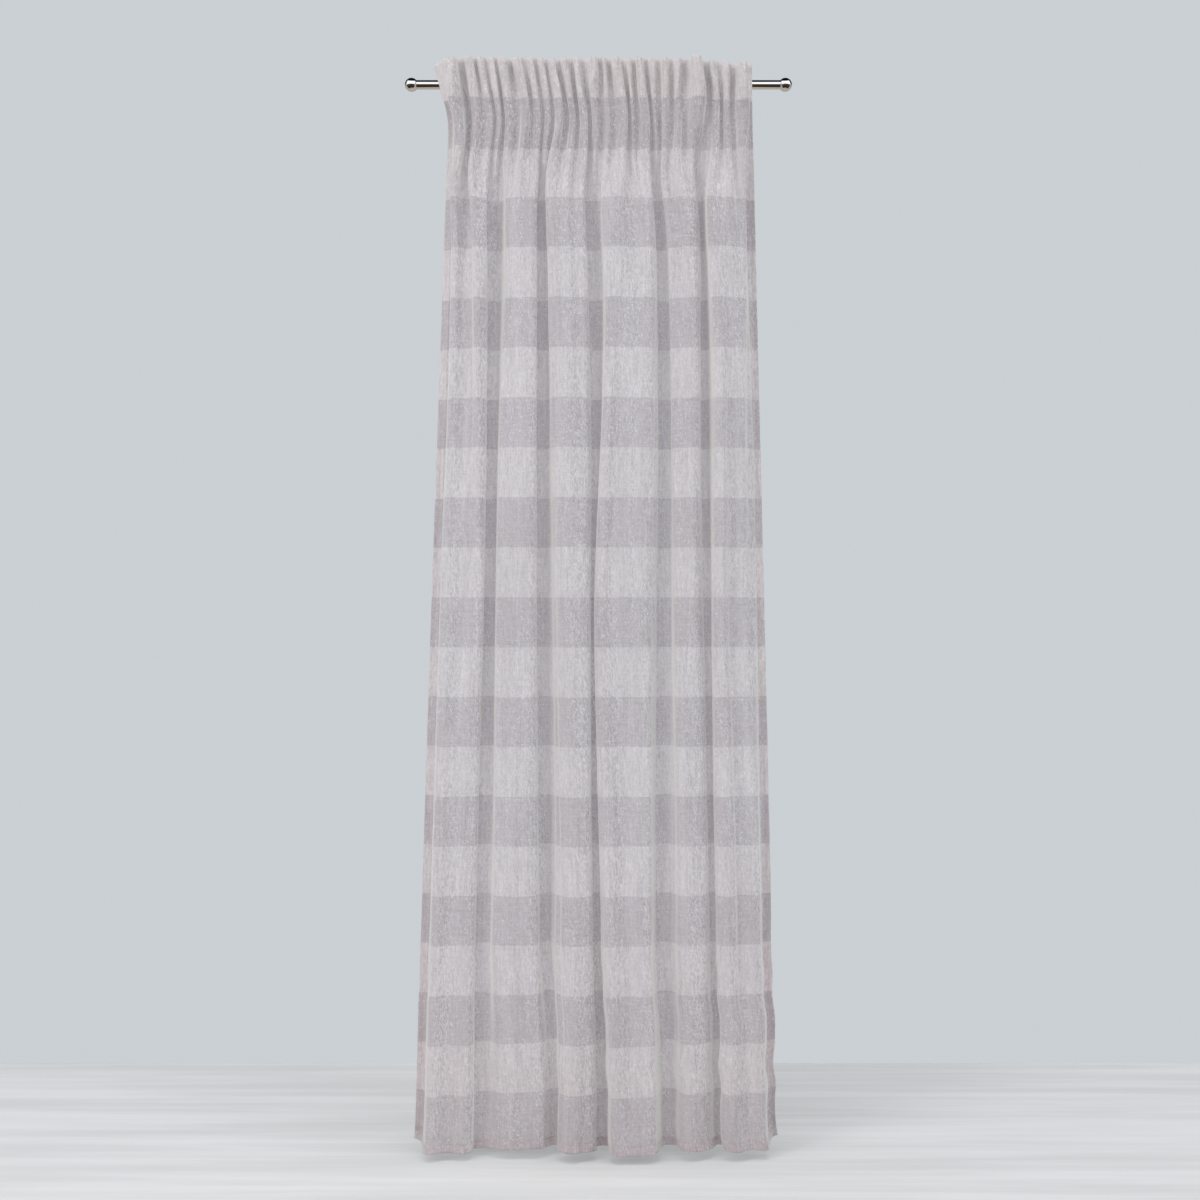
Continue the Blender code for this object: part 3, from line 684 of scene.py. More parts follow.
class HungCloth:
    """The cloth's place at every point of its flat cut.

    Each level is a line of constant length that turns in and out of the folds. The angle of that line
    makes tight pleats at the tape and a few broad folds below. Small pulls then put the backs of the
    folds in their places, so the cloth may be stretched or squeezed a little here and there.
    """

    SAMPLES = 2101
    # Distances down over which the pleats give way to the broad folds.
    CHANGE_OVER = (0.030, 0.40)
    # The width over which the cloth's turns are eased, and over which a pull spreads.
    BEND_WIDTH = 0.004
    PULL_WIDTH = 0.012
    # Share of the gaps between loops that hold a second pleat.
    SECOND_PLEATS = 0.72
    # The level whose folds decide which part of the cloth belongs to which fold.
    SORTING_LEVEL = 1.23
    # How far the side edges stand forward at the tape.
    EDGE_FORWARD = 0.004
    # Distances down over which the side edges begin to flutter, and by how much each does.
    FLUTTER_FROM = (1.85, 2.05)
    LEFT_FLUTTER = 0.0012
    RIGHT_FLUTTER = 0.0038
    # The cloth keeps behind a plane in front of it: where it eases off, and the room it has there.
    FRONT_Y = -0.130
    FRONT_ROOM = 0.020
    # How far the top edge droops at its ends and ruffles, and how far it stands over the rest.
    DROOP = 0.014
    RUFFLE = 0.0026
    TOP_LIFT = 0.0045
    TOP_CLEAR = 0.002
    # How far the hem waves, and how far and over what width its corners rise.
    HEM_WAVE = 0.0040
    CORNER_RISE = 0.024
    CORNER_WIDTH = 0.055
    # How far the hem hangs above the lowest point that the curtain may reach.
    HEM_CLEAR = 0.012
    # The turn of the cloth over one fold, from one back to the next: it comes forward, crosses the
    # front, and curls under itself at the far edge.
    PLEAT_PLACES = (0.00, 0.05, 0.13, 0.22, 0.34, 0.48, 0.62, 0.76, 0.86, 0.92, 0.96, 1.00)
    PLEAT_TURNS = (0.00, -0.10, -0.62, -0.92, -0.74, -0.26, 0.10, 0.50, 1.05, 1.10, 0.40, 0.00)
    # Distances down, and there the backs of the broad folds as shares of the width.
    LEVELS = (0.25, 0.47, 0.83, 1.23, 1.65, 1.98, 2.32)
    BACKS = (
        (0.135, 0.145, 0.153, 0.163, 0.170, 0.170, 0.175),
        (0.300, 0.312, 0.317, 0.327, 0.341, 0.354, 0.392),
        (0.462, 0.478, 0.489, 0.491, 0.497, 0.507, 0.520),
        (0.690, 0.697, 0.696, 0.692, 0.694, 0.694, 0.700),
        (0.806, 0.818, 0.824, 0.829, 0.833, 0.838, 0.842),
    )
    # Which way each broad fold leans at those levels: 1 curls under on its right, -1 on its left.
    LEANS = (
        (0.6, 0.9, 1.0, 0.9, 0.3, 0.1, 0.0),
        (0.8, 1.0, 1.0, 1.0, 1.0, 1.0, 1.0),
        (1.0, 1.0, 1.0, 1.0, 0.7, 0.1, -0.8),
        (0.2, 0.3, 0.1, 0.0, 0.2, 0.3, 0.5),
        (0.9, 1.0, 1.0, 1.0, 1.0, 0.9, 0.6),
        (-0.8, -0.8, -0.8, -0.8, -0.8, -0.8, -0.8),
    )
    # How much of each broad fold is one deep fold, against the deepest; the rest is shallow ripples.
    DEEPEST = 0.78
    DEPTHS = (
        (0.5, 0.6, 0.7, 0.7, 0.5, 0.35, 0.30),
        (0.8, 1.0, 1.0, 1.0, 0.9, 0.8, 0.8),
        (1.0, 1.0, 1.0, 1.0, 1.0, 0.9, 0.9),
        (0.7, 0.7, 0.6, 0.6, 0.6, 0.8, 0.9),
        (0.8, 0.9, 0.9, 1.0, 1.0, 1.0, 1.0),
        (0.6, 0.6, 0.7, 0.7, 0.8, 0.8, 0.8),
    )

    def __init__(self, sizes):
        self.width = sizes.flat_width
        self.drop = TOP_Z - BOTTOM_Z - self.HEM_CLEAR
        self.step = self.width / (self.SAMPLES - 1)
        self.across = np.linspace(0, self.width, self.SAMPLES)
        self.left = self.edge("side_hem_left", min)
        self.right = self.edge("side_hem_right", max)
        rod_down = TOP_Z - ROD_MIDDLE.z
        left, right = self.left(rod_down), self.right(rod_down)
        self.loop_share = (np.array(LOOP_XS) - left) / (right - left)
        self.header_share, self.header_forward = self.header_backs()
        self.body_share = np.array([self.at_level(row, self.SORTING_LEVEL) for row in self.BACKS])

    @staticmethod
    def edge(node, pick):
        """How far across a side edge hangs, as a function of the distance down from the top."""
        points = {}
        for vert in frame["nodes"][node].data.vertices:
            level = round(TOP_Z - vert.co.z, 3)
            points[level] = pick(points.get(level, vert.co.x), vert.co.x)
        levels = sorted(points)
        dense = np.linspace(levels[0], TOP_Z - BOTTOM_Z, 400)
        xs = np.interp(dense, levels, [points[level] for level in levels])
        xs = softened(xs, dense[1] - dense[0], 0.05)
        return lambda down: np.interp(down, dense, xs)

    @classmethod
    def at_level(cls, values, down):
        """A fold's value between its stated levels."""
        return np.interp(down, cls.LEVELS, values)

    def header_backs(self):
        """The pleats' backs along the tape: one at each loop, and shallower ones between most loops."""
        rng = np.random.default_rng(7)
        shares, forward = [], []
        for here, after in zip(self.loop_share, [*self.loop_share[1:], None]):
            shares.append(here)
            forward.append(0.0)
            if after is not None and rng.uniform() < self.SECOND_PLEATS:
                shares.append(here + (after - here) * rng.uniform(0.36, 0.64))
                forward.append(-rng.uniform(0.001, 0.005))
        return np.array(shares), np.array(forward)

    def pleats(self, shares):
        """The fold each sample belongs to, and the unit turns for folds that lean right and left."""
        marks = np.concatenate([[0.0], shares, [1.0 + 1e-9]]) * self.width
        index = np.clip(np.searchsorted(marks, self.across, side="right") - 1, 0, len(marks) - 2)
        along = (self.across - marks[index]) / (marks[index + 1] - marks[index])
        rightward = np.interp(along, self.PLEAT_PLACES, self.PLEAT_TURNS)
        leftward = -np.interp(1 - along, self.PLEAT_PLACES, self.PLEAT_TURNS)
        return index, along, rightward, leftward

    def header_angle(self, down):
        """The pleats at the tape, each leaning its own way."""
        index, along, rightward, leftward = self.pleats(self.header_share)
        rng = np.random.default_rng(19)
        lean = rng.uniform(-0.9, 0.9, index.max() + 1)
        lean[0], lean[-1] = 1.0, -1.0
        lean = lean[index]
        turn = (1 + lean) / 2 * rightward + (1 - lean) / 2 * leftward
        turn = 0.5 * turn - 0.5 * np.sin(2 * pi * along)
        level = down[:, None]
        at = self.across[None, :]
        crumple = 0.50 * surface_noise(at, level, 16, 34.0, 9.0)
        crumple = crumple + 0.16 * surface_noise(at, level, 17, 90.0, 14.0)
        return turn[None, :] + crumple, index

    def body_angle(self, down):
        """The broad folds below the header, level by level."""
        index, along, rightward, leftward = self.pleats(self.body_share)
        lean = np.stack([self.at_level(row, down) for row in self.LEANS], axis=1)[:, index]
        depth = np.stack([self.at_level(row, down) for row in self.DEPTHS], axis=1)[:, index]
        depth = self.DEEPEST * depth
        level = down[:, None]
        at = self.across[None, :]
        deep = (1 + lean) / 2 * rightward + (1 - lean) / 2 * leftward
        swing = 0.5 * surface_noise(at, level, 25, 3.0, 0.5)
        ripples = -0.52 * np.sin(2 * pi * (2.0 * along[None, :] + 0.20 * swing))
        ripples = ripples - 0.22 * np.sin(2 * pi * (3.0 * along[None, :] + swing))
        fade = ease(np.minimum(along, 1 - along), 0.0, 0.10)[None, :]
        small = 0.30 * surface_noise(at, level, 22, 34.0, 0.5)
        small = small + 0.20 * surface_noise(at, level, 23, 80.0, 1.1)
        tight = 0.75 * (1 - ease(level, 0.15, 1.3)) * surface_noise(at, level, 24, 42.0, 0.7)
        loose = (small + tight) * (0.4 + 0.6 * fade)
        return depth * deep + (1 - depth) * ripples * fade + loose, index

    def run(self, angle):
        """Distances across and back along each level, from the line's angle."""
        ahead = np.cos(angle)
        back = np.sin(angle)
        x = np.zeros_like(angle)
        y = np.zeros_like(angle)
        x[:, 1:] = np.cumsum((ahead[:, 1:] + ahead[:, :-1]) / 2, axis=1) * self.step
        y[:, 1:] = np.cumsum((back[:, 1:] + back[:, :-1]) / 2, axis=1) * self.step
        return x, y

    def fit_folds(self, angle, index, wanted):
        """Scale each fold's angles, at each level, until the fold is as wide as it hangs."""
        starts = np.searchsorted(index, np.arange(index.max() + 1))
        low, high = np.full(wanted.shape, 0.05), np.full(wanted.shape, 3.2)
        for _ in range(18):
            half = (low + high) / 2
            width = np.add.reduceat(np.cos(angle * half[:, index]), starts, axis=1) * self.step
            low = np.where(width > wanted, half, low)
            high = np.where(width > wanted, high, half)
        scale = (low + high) / 2
        return angle * scale[:, index]

    def fit_width(self, angle, wanted):
        """Scale each level's angles until its line is as wide as the curtain hangs there."""
        everything = np.zeros(self.SAMPLES, dtype=int)
        return self.fit_folds(angle, everything, wanted[:, None])

    def smooth_turns(self, angle, width):
        """Ease the turns along each level, so that no crease is sharper than the cloth allows."""
        reach = max(1, int(round(width / self.step)))
        kernel = np.hanning(2 * reach + 3)[1:-1]
        kernel /= kernel.sum()
        padded = np.pad(angle, ((0, 0), (reach, reach)), mode="edge")
        return np.stack([np.convolve(row, kernel, mode="valid") for row in padded])

    def pull(self, x, y, shares, target_x, target_y):
        """How far each level moves for the points at the given shares to land on their targets."""
        shares = np.concatenate([[0.0], shares, [1.0]])
        at = self.across / self.width
        dx, dy = np.zeros_like(x), np.zeros_like(y)
        for row in range(len(x)):
            have_x = np.interp(shares, at, x[row])
            have_y = np.interp(shares, at, y[row])
            pull_x = np.interp(at, shares, target_x[row] - have_x)
            pull_y = np.interp(at, shares, target_y[row] - have_y)
            dx[row] = softened(pull_x, self.step, self.PULL_WIDTH)
            dy[row] = softened(pull_y, self.step, self.PULL_WIDTH)
        return dx, dy

    def hang(self, down):
        """Places of the whole width at each distance down from the top edge."""
        down = np.asarray(down, float)
        flutter = ease(down, *self.FLUTTER_FROM)
        left = self.left(down) + self.LEFT_FLUTTER * lattice_noise(down, 46, 18.0) * flutter
        right = self.right(down) + self.RIGHT_FLUTTER * lattice_noise(down, 45, 20.0) * flutter
        blend = ease(down, *self.CHANGE_OVER)[:, None]
        level = down[:, None]
        at = self.across[None, :]
        scale = (right - left)[:, None]

        header_marks = np.concatenate([[0.0], self.header_share, [1.0]])[None, :]
        header_marks = header_marks * np.ones_like(level)
        body_rows = [self.at_level(row, down) for row in self.BACKS]
        body_marks = np.stack([np.zeros_like(down), *body_rows, np.ones_like(down)], axis=1)
        header, header_index = self.header_angle(down)
        broad, broad_index = self.body_angle(down)
        header = self.fit_folds(header, header_index, np.diff(header_marks, axis=1) * scale)
        broad = self.fit_folds(broad, broad_index, np.diff(body_marks, axis=1) * scale)
        angle = self.smooth_turns((1 - blend) * header + blend * broad, self.BEND_WIDTH)
        angle = self.fit_width(angle, right - left)
        x, y = self.run(angle)

        edge_y = [-self.EDGE_FORWARD]
        header_y = np.concatenate([edge_y, self.header_forward, edge_y])[None, :] * np.ones_like(level)
        header_dx, header_dy = self.pull(x, y, self.header_share, scale * header_marks, header_y)
        sway = 0.008 * surface_noise(body_marks, level, 32, 9.0, 0.9) * ease(level, 0.2, 1.0)
        sway = sway - 0.012 * ease(level, 0.3, 2.2) * np.array([[0.6, 0.5, 0, 0, 0.3, 0, 0.2]])
        body_dx, body_dy = self.pull(x, y, self.body_share, scale * body_marks, sway)
        x = x + (1 - blend) * header_dx + blend * body_dx + left[:, None]
        y = y + (1 - blend) * header_dy + blend * body_dy

        back_plane = LOOP_FRONT_Y - 0.0015
        back_plane = back_plane + 0.018 * ease(down, 0.10, 0.7) + 0.018 * ease(down, 0.9, 2.4)
        crumple = 0.0008 * surface_noise(at, level, 41, 70.0, 16.0) * (1 - 0.7 * blend)
        drape = 0.0014 * surface_noise(at, level, 42, 26.0, 2.6) * blend
        y = y + back_plane[:, None] + (crumple + drape) * ease(level, 0.0, 0.02)
        y = self.held(y, self.FRONT_Y, -self.FRONT_ROOM)
        rear = back_plane[:, None] - 0.0015 + 0.020 * blend
        y = rear + self.held(y - rear, 0.0, 0.0015 + 0.010 * blend)
        return x, y, self.heights(at, level)

    @staticmethod
    def held(value, start, room):
        """Ease off past a start, so that a value never goes further than some room beyond it."""
        past = np.maximum((value - start) / room, 0.0)
        return np.where(past > 0, start + room * (1 - np.exp(-past)), value)

    def heights(self, at, level):
        """Heights of the cloth: the top edge droops and ruffles, and the hem rises at its corners."""
        share = at / self.width
        droop = self.DROOP * ease(np.abs(share - 0.46), 0.34, 0.50) * (1 - ease(level, 0.0, 0.16))
        ruffle = self.RUFFLE * lattice_noise(at, 43, 26.0) * (1 - ease(level, 0.0, 0.05))
        wave = self.HEM_WAVE * lattice_noise(at, 44, 6.0) * ease(level, 1.9, self.drop)
        from_side = np.minimum(at, self.width - at)
        corner = (1 - ease(from_side, 0.0, self.CORNER_WIDTH)) ** 2
        corner = self.CORNER_RISE * corner * ease(level, 2.25, self.drop)
        lift = self.TOP_LIFT * (1 - ease(level, 0.0, 0.35))
        return TOP_Z - level - droop + ruffle + wave + corner + lift - self.TOP_CLEAR

    def grid(self, across, down, behind=0.0):
        """Points at the given flat places, set behind the cloth by a distance along its normal."""
        x, y, z = self.hang(down)
        points = np.zeros((len(down), len(across), 3))
        for row in range(len(down)):
            tx = np.gradient(x[row])
            ty = np.gradient(y[row])
            size = np.hypot(tx, ty)
            offset_x = x[row] - behind * ty / size
            offset_y = y[row] + behind * tx / size
            points[row, :, 0] = np.interp(across, self.across, offset_x)
            points[row, :, 1] = np.interp(across, self.across, offset_y)
            points[row, :, 2] = np.interp(across, self.across, z[row])
        return points


def hung_cloth(context):
    """The hanging cloth, worked out on first use."""
    if "cloth" not in _made:
        _made["cloth"] = HungCloth(context.scene.curtain_sizes)
    return _made["cloth"]


# ---------------------------------------------------------------------------
# Modelling helpers
# ---------------------------------------------------------------------------


def deselect():
    """Leave edit mode and clear the selection."""
    if bpy.context.object and bpy.context.object.mode != "OBJECT":
        bpy.ops.object.mode_set(mode="OBJECT")
    bpy.ops.object.select_all(action="DESELECT")


def only(obj):
    """Select one object and make it active."""
    deselect()
    obj.select_set(True)
    bpy.context.view_layer.objects.active = obj


def settle(obj):
    """Put an object's place into its mesh, so that the object sits at the origin."""
    only(obj)
    bpy.ops.object.transform_apply(location=True, rotation=True, scale=True)


def apply_all(obj):
    """Apply every modifier in turn."""
    only(obj)
    for modifier in list(obj.modifiers):
        bpy.ops.object.modifier_apply(modifier=modifier.name)


def shade(obj, angle=30.0):
    """Smooth shading with edges kept past an angle."""
    only(obj)
    bpy.ops.object.shade_smooth_by_angle(angle=radians(angle))


def round_bar(name, radius, depth, centre, axis, vertices=64, end_radius=None):
    """A round bar with its middle at a point, or a cone if its second end has its own radius."""
    deselect()
    bpy.ops.mesh.primitive_cone_add(
        vertices=vertices,
        radius1=radius,
        radius2=radius if end_radius is None else end_radius,
        depth=depth,
        location=centre,
        rotation=AXIS_TURNS[axis],
    )
    bar = bpy.context.object
    bar.name = name
    settle(bar)
    return bar


def pick_faces(obj, wanted):
    """Go into edit mode with only the wanted faces selected."""
    only(obj)
    bpy.ops.object.mode_set(mode="EDIT")
    bpy.ops.mesh.select_mode(type="FACE")
    bpy.ops.mesh.select_all(action="DESELECT")
    bpy.ops.object.mode_set(mode="OBJECT")
    for face in obj.data.polygons:
        face.select = bool(wanted(face))
    bpy.ops.object.mode_set(mode="EDIT")


def pick_edges(obj, wanted):
    """Go into edit mode with only the wanted edges selected, judged by the places of their two ends."""
    only(obj)
    bpy.ops.object.mode_set(mode="EDIT")
    bpy.ops.mesh.select_mode(type="EDGE")
    bpy.ops.mesh.select_all(action="DESELECT")
    bpy.ops.object.mode_set(mode="OBJECT")
    verts = obj.data.vertices
    for edge in obj.data.edges:
        first, second = (verts[i].co for i in edge.vertices)
        edge.select = bool(wanted(first, second))
    bpy.ops.object.mode_set(mode="EDIT")


def merge_tool(obj, tool, operation):
    """Join a tool's shape onto a piece, or cut it out, and throw the tool away."""
    boolean = obj.modifiers.new("Tool", "BOOLEAN")
    boolean.object = tool
    boolean.operation = operation
    boolean.solver = "EXACT"
    apply_all(obj)
    only(tool)
    bpy.ops.object.delete()


def soften(obj, width, angle=30.0):
    """Round every edge sharper than an angle."""
    bevel = obj.modifiers.new("Soft edges", "BEVEL")
    bevel.width = width
    bevel.segments = 2
    bevel.limit_method = "ANGLE"
    bevel.angle_limit = radians(angle)
    apply_all(obj)


def duplicate(obj, name, shift):
    """A copy with its own mesh, moved over."""
    only(obj)
    bpy.ops.object.duplicate(linked=False)
    copy = bpy.context.object
    copy.name = name
    copy.data.name = name
    copy.location = shift
    settle(copy)
    return copy


def place_piece(obj, body, slot, *replaced):
    """Finish a piece: put its place into its mesh, attach it to its body and hide the nodes it stands
    for. The slot is not used.
    """
    settle(obj)
    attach(obj, body)
    if replaced:
        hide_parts(*replaced)
    return obj


def cloth_grid(name, points, across, down, material):
    """A grid of faces laid over an array of points, with the flat places as its UV map in metres."""
    rows, columns = points.shape[:2]
    deselect()
    bpy.ops.mesh.primitive_grid_add(x_subdivisions=columns - 1, y_subdivisions=rows - 1, size=1.0)
    obj = bpy.context.object
    obj.name = name
    mesh = obj.data
    mesh.name = name
    flat = np.zeros((len(mesh.vertices), 3))
    mesh.vertices.foreach_get("co", flat.ravel())
    column = np.rint((flat[:, 0] + 0.5) * (columns - 1)).astype(int)
    row = np.rint((0.5 - flat[:, 1]) * (rows - 1)).astype(int)
    mesh.vertices.foreach_set("co", points[row, column].astype(np.float32).ravel())
    corners = np.zeros(len(mesh.loops), dtype=np.int32)
    mesh.loops.foreach_get("vertex_index", corners)
    while mesh.uv_layers:
        mesh.uv_layers.remove(mesh.uv_layers[0])
    layer = mesh.uv_layers.new(name=CLOTH_UV)
    uv = np.stack([across[column[corners]], down[row[corners]]], axis=1)
    layer.data.foreach_set("uv", uv.astype(np.float32).ravel())
    mesh.materials.append(material)
    mesh.update()
    only(obj)
    bpy.ops.object.shade_smooth()
    return obj


def thicken(obj, thickness):
    """Give a sheet its thickness, half to each side."""
    solidify = obj.modifiers.new("Thickness", "SOLIDIFY")
    solidify.thickness = thickness
    solidify.offset = 0.0
    apply_all(obj)


def gather(obj):
    """Give a piece of cloth its own mesh."""
    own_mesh(obj)


# How far rows crowd together at the top: 1 would space them evenly.
ROW_CROWDING = 1.35


def crowded_rows(low, high, count):
    """Rows between two distances down, closer together at the top where the pleats are."""
    return low + (high - low) * np.linspace(0, 1, count + 1) ** ROW_CROWDING


# ---------------------------------------------------------------------------
# Operators
# ---------------------------------------------------------------------------


class CURTAIN_OT_stage(bpy.types.Operator):
    """Set the floor, the light and the camera"""

    bl_idname = "curtain.set_stage"
    bl_label = "Set the stage"

    CAMERA_AWAY = 3.40
    FRAME_WIDTH = 2.679
    CAMERA_X = 0.0036
    CAMERA_Z = -1.157
    FLOOR_WIDTH = 9.0
    FLOOR_GAP = 0.012
    FLOOR_FRONT_Y = -3.3
    FLOOR_BACK_Y = 0.62
    FLOOR_DARK = (0.76, 0.755, 0.75)
    FLOOR_PALE = (0.88, 0.875, 0.87)
    # Each soft box: its name, place, aim, width and height, power in watts and tint.
    SOFT_BOXES = (
        ("key box", (-2.7, -2.5, -0.4), (0, -0.1, -1.2), (1.4, 2.8), 44, (1, 1, 1)),
        ("fill box", (3.3, -1.2, -1.0), (0, -0.1, -1.2), (1.2, 2.8), 18, (1, 0.985, 0.98)),
        ("top box", (0, -1.3, 2.6), (0, -1.0, -2.4), (4.0, 3.0), 75, (1, 1, 1)),
    )
    WALL_GREY = (0.595, 0.628, 0.655)
    # How bright the surround lights the cloth, against how bright it looks.
    SURROUND = 0.88
    # The studio as bright metal mirrors it, from below to above: on the viewer's side and behind.
    AHEAD_STOPS = (
        (0.00, (0.56, 0.49, 0.40)),
        (0.035, (0.50, 0.43, 0.34)),
        (0.06, (0.035, 0.022, 0.014)),
        (0.28, (0.03, 0.02, 0.013)),
        (0.33, (0.14, 0.11, 0.09)),
        (0.38, (0.04, 0.03, 0.022)),
        (0.50, (0.07, 0.055, 0.045)),
        (0.53, (1.3, 1.3, 1.3)),
        (0.87, (1.3, 1.3, 1.3)),
        (0.91, (0.004, 0.004, 0.005)),
    )
    BEHIND_STOPS = (
        (0.00, (0.55, 0.48, 0.39)),
        (0.30, (0.50, 0.45, 0.38)),
        (0.45, (0.42, 0.40, 0.37)),
        (0.52, (0.40, 0.42, 0.44)),
        (0.61, (0.30, 0.32, 0.34)),
        (0.65, (0.02, 0.02, 0.022)),
        (1.00, (0.003, 0.003, 0.004)),
    )

    def execute(self, context):
        self.camera(context)
        self.floor()
        context.scene.view_settings.view_transform = "Standard"
        for box in self.SOFT_BOXES:
            self.soft_box(context, *box)
        self.surround(context)
        return {"FINISHED"}

    def camera(self, context):
        """Level with the middle of the drop, straight in front of the cloth."""
        cloth_y = middle("heading_tape").y
        data = bpy.data.cameras.new("camera")
        data.lens = data.sensor_width * self.CAMERA_AWAY / self.FRAME_WIDTH
        camera = bpy.data.objects.new("camera", data)
        context.scene.collection.objects.link(camera)
        camera.location = (self.CAMERA_X, cloth_y - self.CAMERA_AWAY, self.CAMERA_Z)
        camera.rotation_euler = (pi / 2, 0, 0)
        context.scene.camera = camera

    def floor(self):
        """A plain pale floor a little below the hem."""
        deselect()
        depth = self.FLOOR_BACK_Y - self.FLOOR_FRONT_Y
        place = (0, (self.FLOOR_BACK_Y + self.FLOOR_FRONT_Y) / 2, BOTTOM_Z - self.FLOOR_GAP)
        bpy.ops.mesh.primitive_plane_add(size=1.0, location=place)
        floor = bpy.context.object
        floor.name = "floor"
        floor.scale = (self.FLOOR_WIDTH, depth, 1.0)
        settle(floor)
        material = bpy.data.materials.new("pale floor")
        material.use_nodes = True
        board = Board(material.node_tree)
        shader = material.node_tree.nodes["Principled BSDF"]
        where = board.add("ShaderNodeTexCoord").outputs["Object"]
        grain = board.noise(where, (0.9, 16, 1), 4.0, 0.6)
        dyed = board.blend(board.ramp(grain, 0.3, 0.7), opaque(self.FLOOR_DARK), opaque(self.FLOOR_PALE))
        board.feed(shader.inputs["Base Color"], dyed)
        shader.inputs["Roughness"].default_value = 0.6
        floor.data.materials.append(material)
        floor.visible_glossy = False

    def soft_box(self, context, name, place, target, size, power, tint):
        """A soft box aimed at a point, and left out of reflections."""
        data = bpy.data.lights.new(name, "AREA")
        data.shape = "RECTANGLE"
        data.size, data.size_y = size
        data.energy = power
        data.color = tint
        light = bpy.data.objects.new(name, data)
        context.scene.collection.objects.link(light)
        light.location = place
        aim = Vector(target) - Vector(place)
        light.rotation_euler = aim.to_track_quat("-Z", "Y").to_euler()
        light.visible_glossy = False

    def surround(self, context):
        """A pale surround, and a studio with bright and dark parts that only mirror rays see."""
        world = bpy.data.worlds.new("studio")
        context.scene.world = world
        world.use_nodes = True
        board = Board(world.node_tree)
        plain = world.node_tree.nodes["Background"]
        output = world.node_tree.nodes["World Output"]
        plain.inputs["Color"].default_value = opaque(self.WALL_GREY)
        ray = board.add("ShaderNodeLightPath").outputs
        strength = board.math("MULTIPLY_ADD", ray["Is Camera Ray"], 1.0 - self.SURROUND, self.SURROUND)
        board.feed(plain.inputs["Strength"], strength)
        direction = board.add("ShaderNodeTexCoord").outputs["Generated"]
        axes = board.add("ShaderNodeSeparateXYZ", {0: direction}).outputs
        ahead = self.sky(board, axes["Z"], self.AHEAD_STOPS)
        behind = self.sky(board, axes["Z"], self.BEHIND_STOPS)
        seen = board.blend(board.ramp(axes["Y"], -0.05, 0.05), ahead, behind)
        mirrored = board.add("ShaderNodeBackground", {"Color": seen, "Strength": 1.0})
        inputs = {0: ray["Is Glossy Ray"], 1: plain.outputs[0], 2: mirrored.outputs[0]}
        mixed = board.add("ShaderNodeMixShader", inputs)
        board.feed(output.inputs["Surface"], mixed.outputs[0])

    @staticmethod
    def sky(board, up, stops):
        """What bright metal mirrors, from straight down to straight up."""
        ramp = board.add("ShaderNodeValToRGB", {"Fac": board.math("MULTIPLY_ADD", up, 0.5, 0.5)})
        elements = ramp.color_ramp.elements
        while len(elements) > 1:
            elements.remove(elements[-1])
        elements[0].position, elements[0].color = stops[0][0], opaque(stops[0][1])
        for position, seen in stops[1:]:
            elements.new(position).color = opaque(seen)
        return ramp.outputs["Color"]


class CURTAIN_OT_rod(bpy.types.Operator):
    """Draw the rod tube"""

    bl_idname = "curtain.draw_rod"
    bl_label = "Draw the rod"

    WALL = 0.001
    DEBURR = 0.0002

    def execute(self, context):
        low, high = ROD_ENDS
        deselect()
        bpy.ops.mesh.primitive_cylinder_add(
            vertices=96,
            radius=ROD_RADIUS,
            depth=high - low,
            end_fill_type="NOTHING",
            location=ROD_MIDDLE,
            rotation=AXIS_TURNS["X"],
        )
        tube = bpy.context.object
        tube.name = "rod"
        settle(tube)
        solidify = tube.modifiers.new("Wall", "SOLIDIFY")
        solidify.thickness = self.WALL
        solidify.offset = -1.0
        bevel = tube.modifiers.new("Deburred ends", "BEVEL")
        bevel.width = self.DEBURR
        bevel.segments = 2
        bevel.limit_method = "ANGLE"
        apply_all(tube)
        tube.data.materials.append(finishes(context).chrome)
        shade(tube)
        place_piece(tube, "rod", "rod_chrome", "rod_tube")
        return {"FINISHED"}


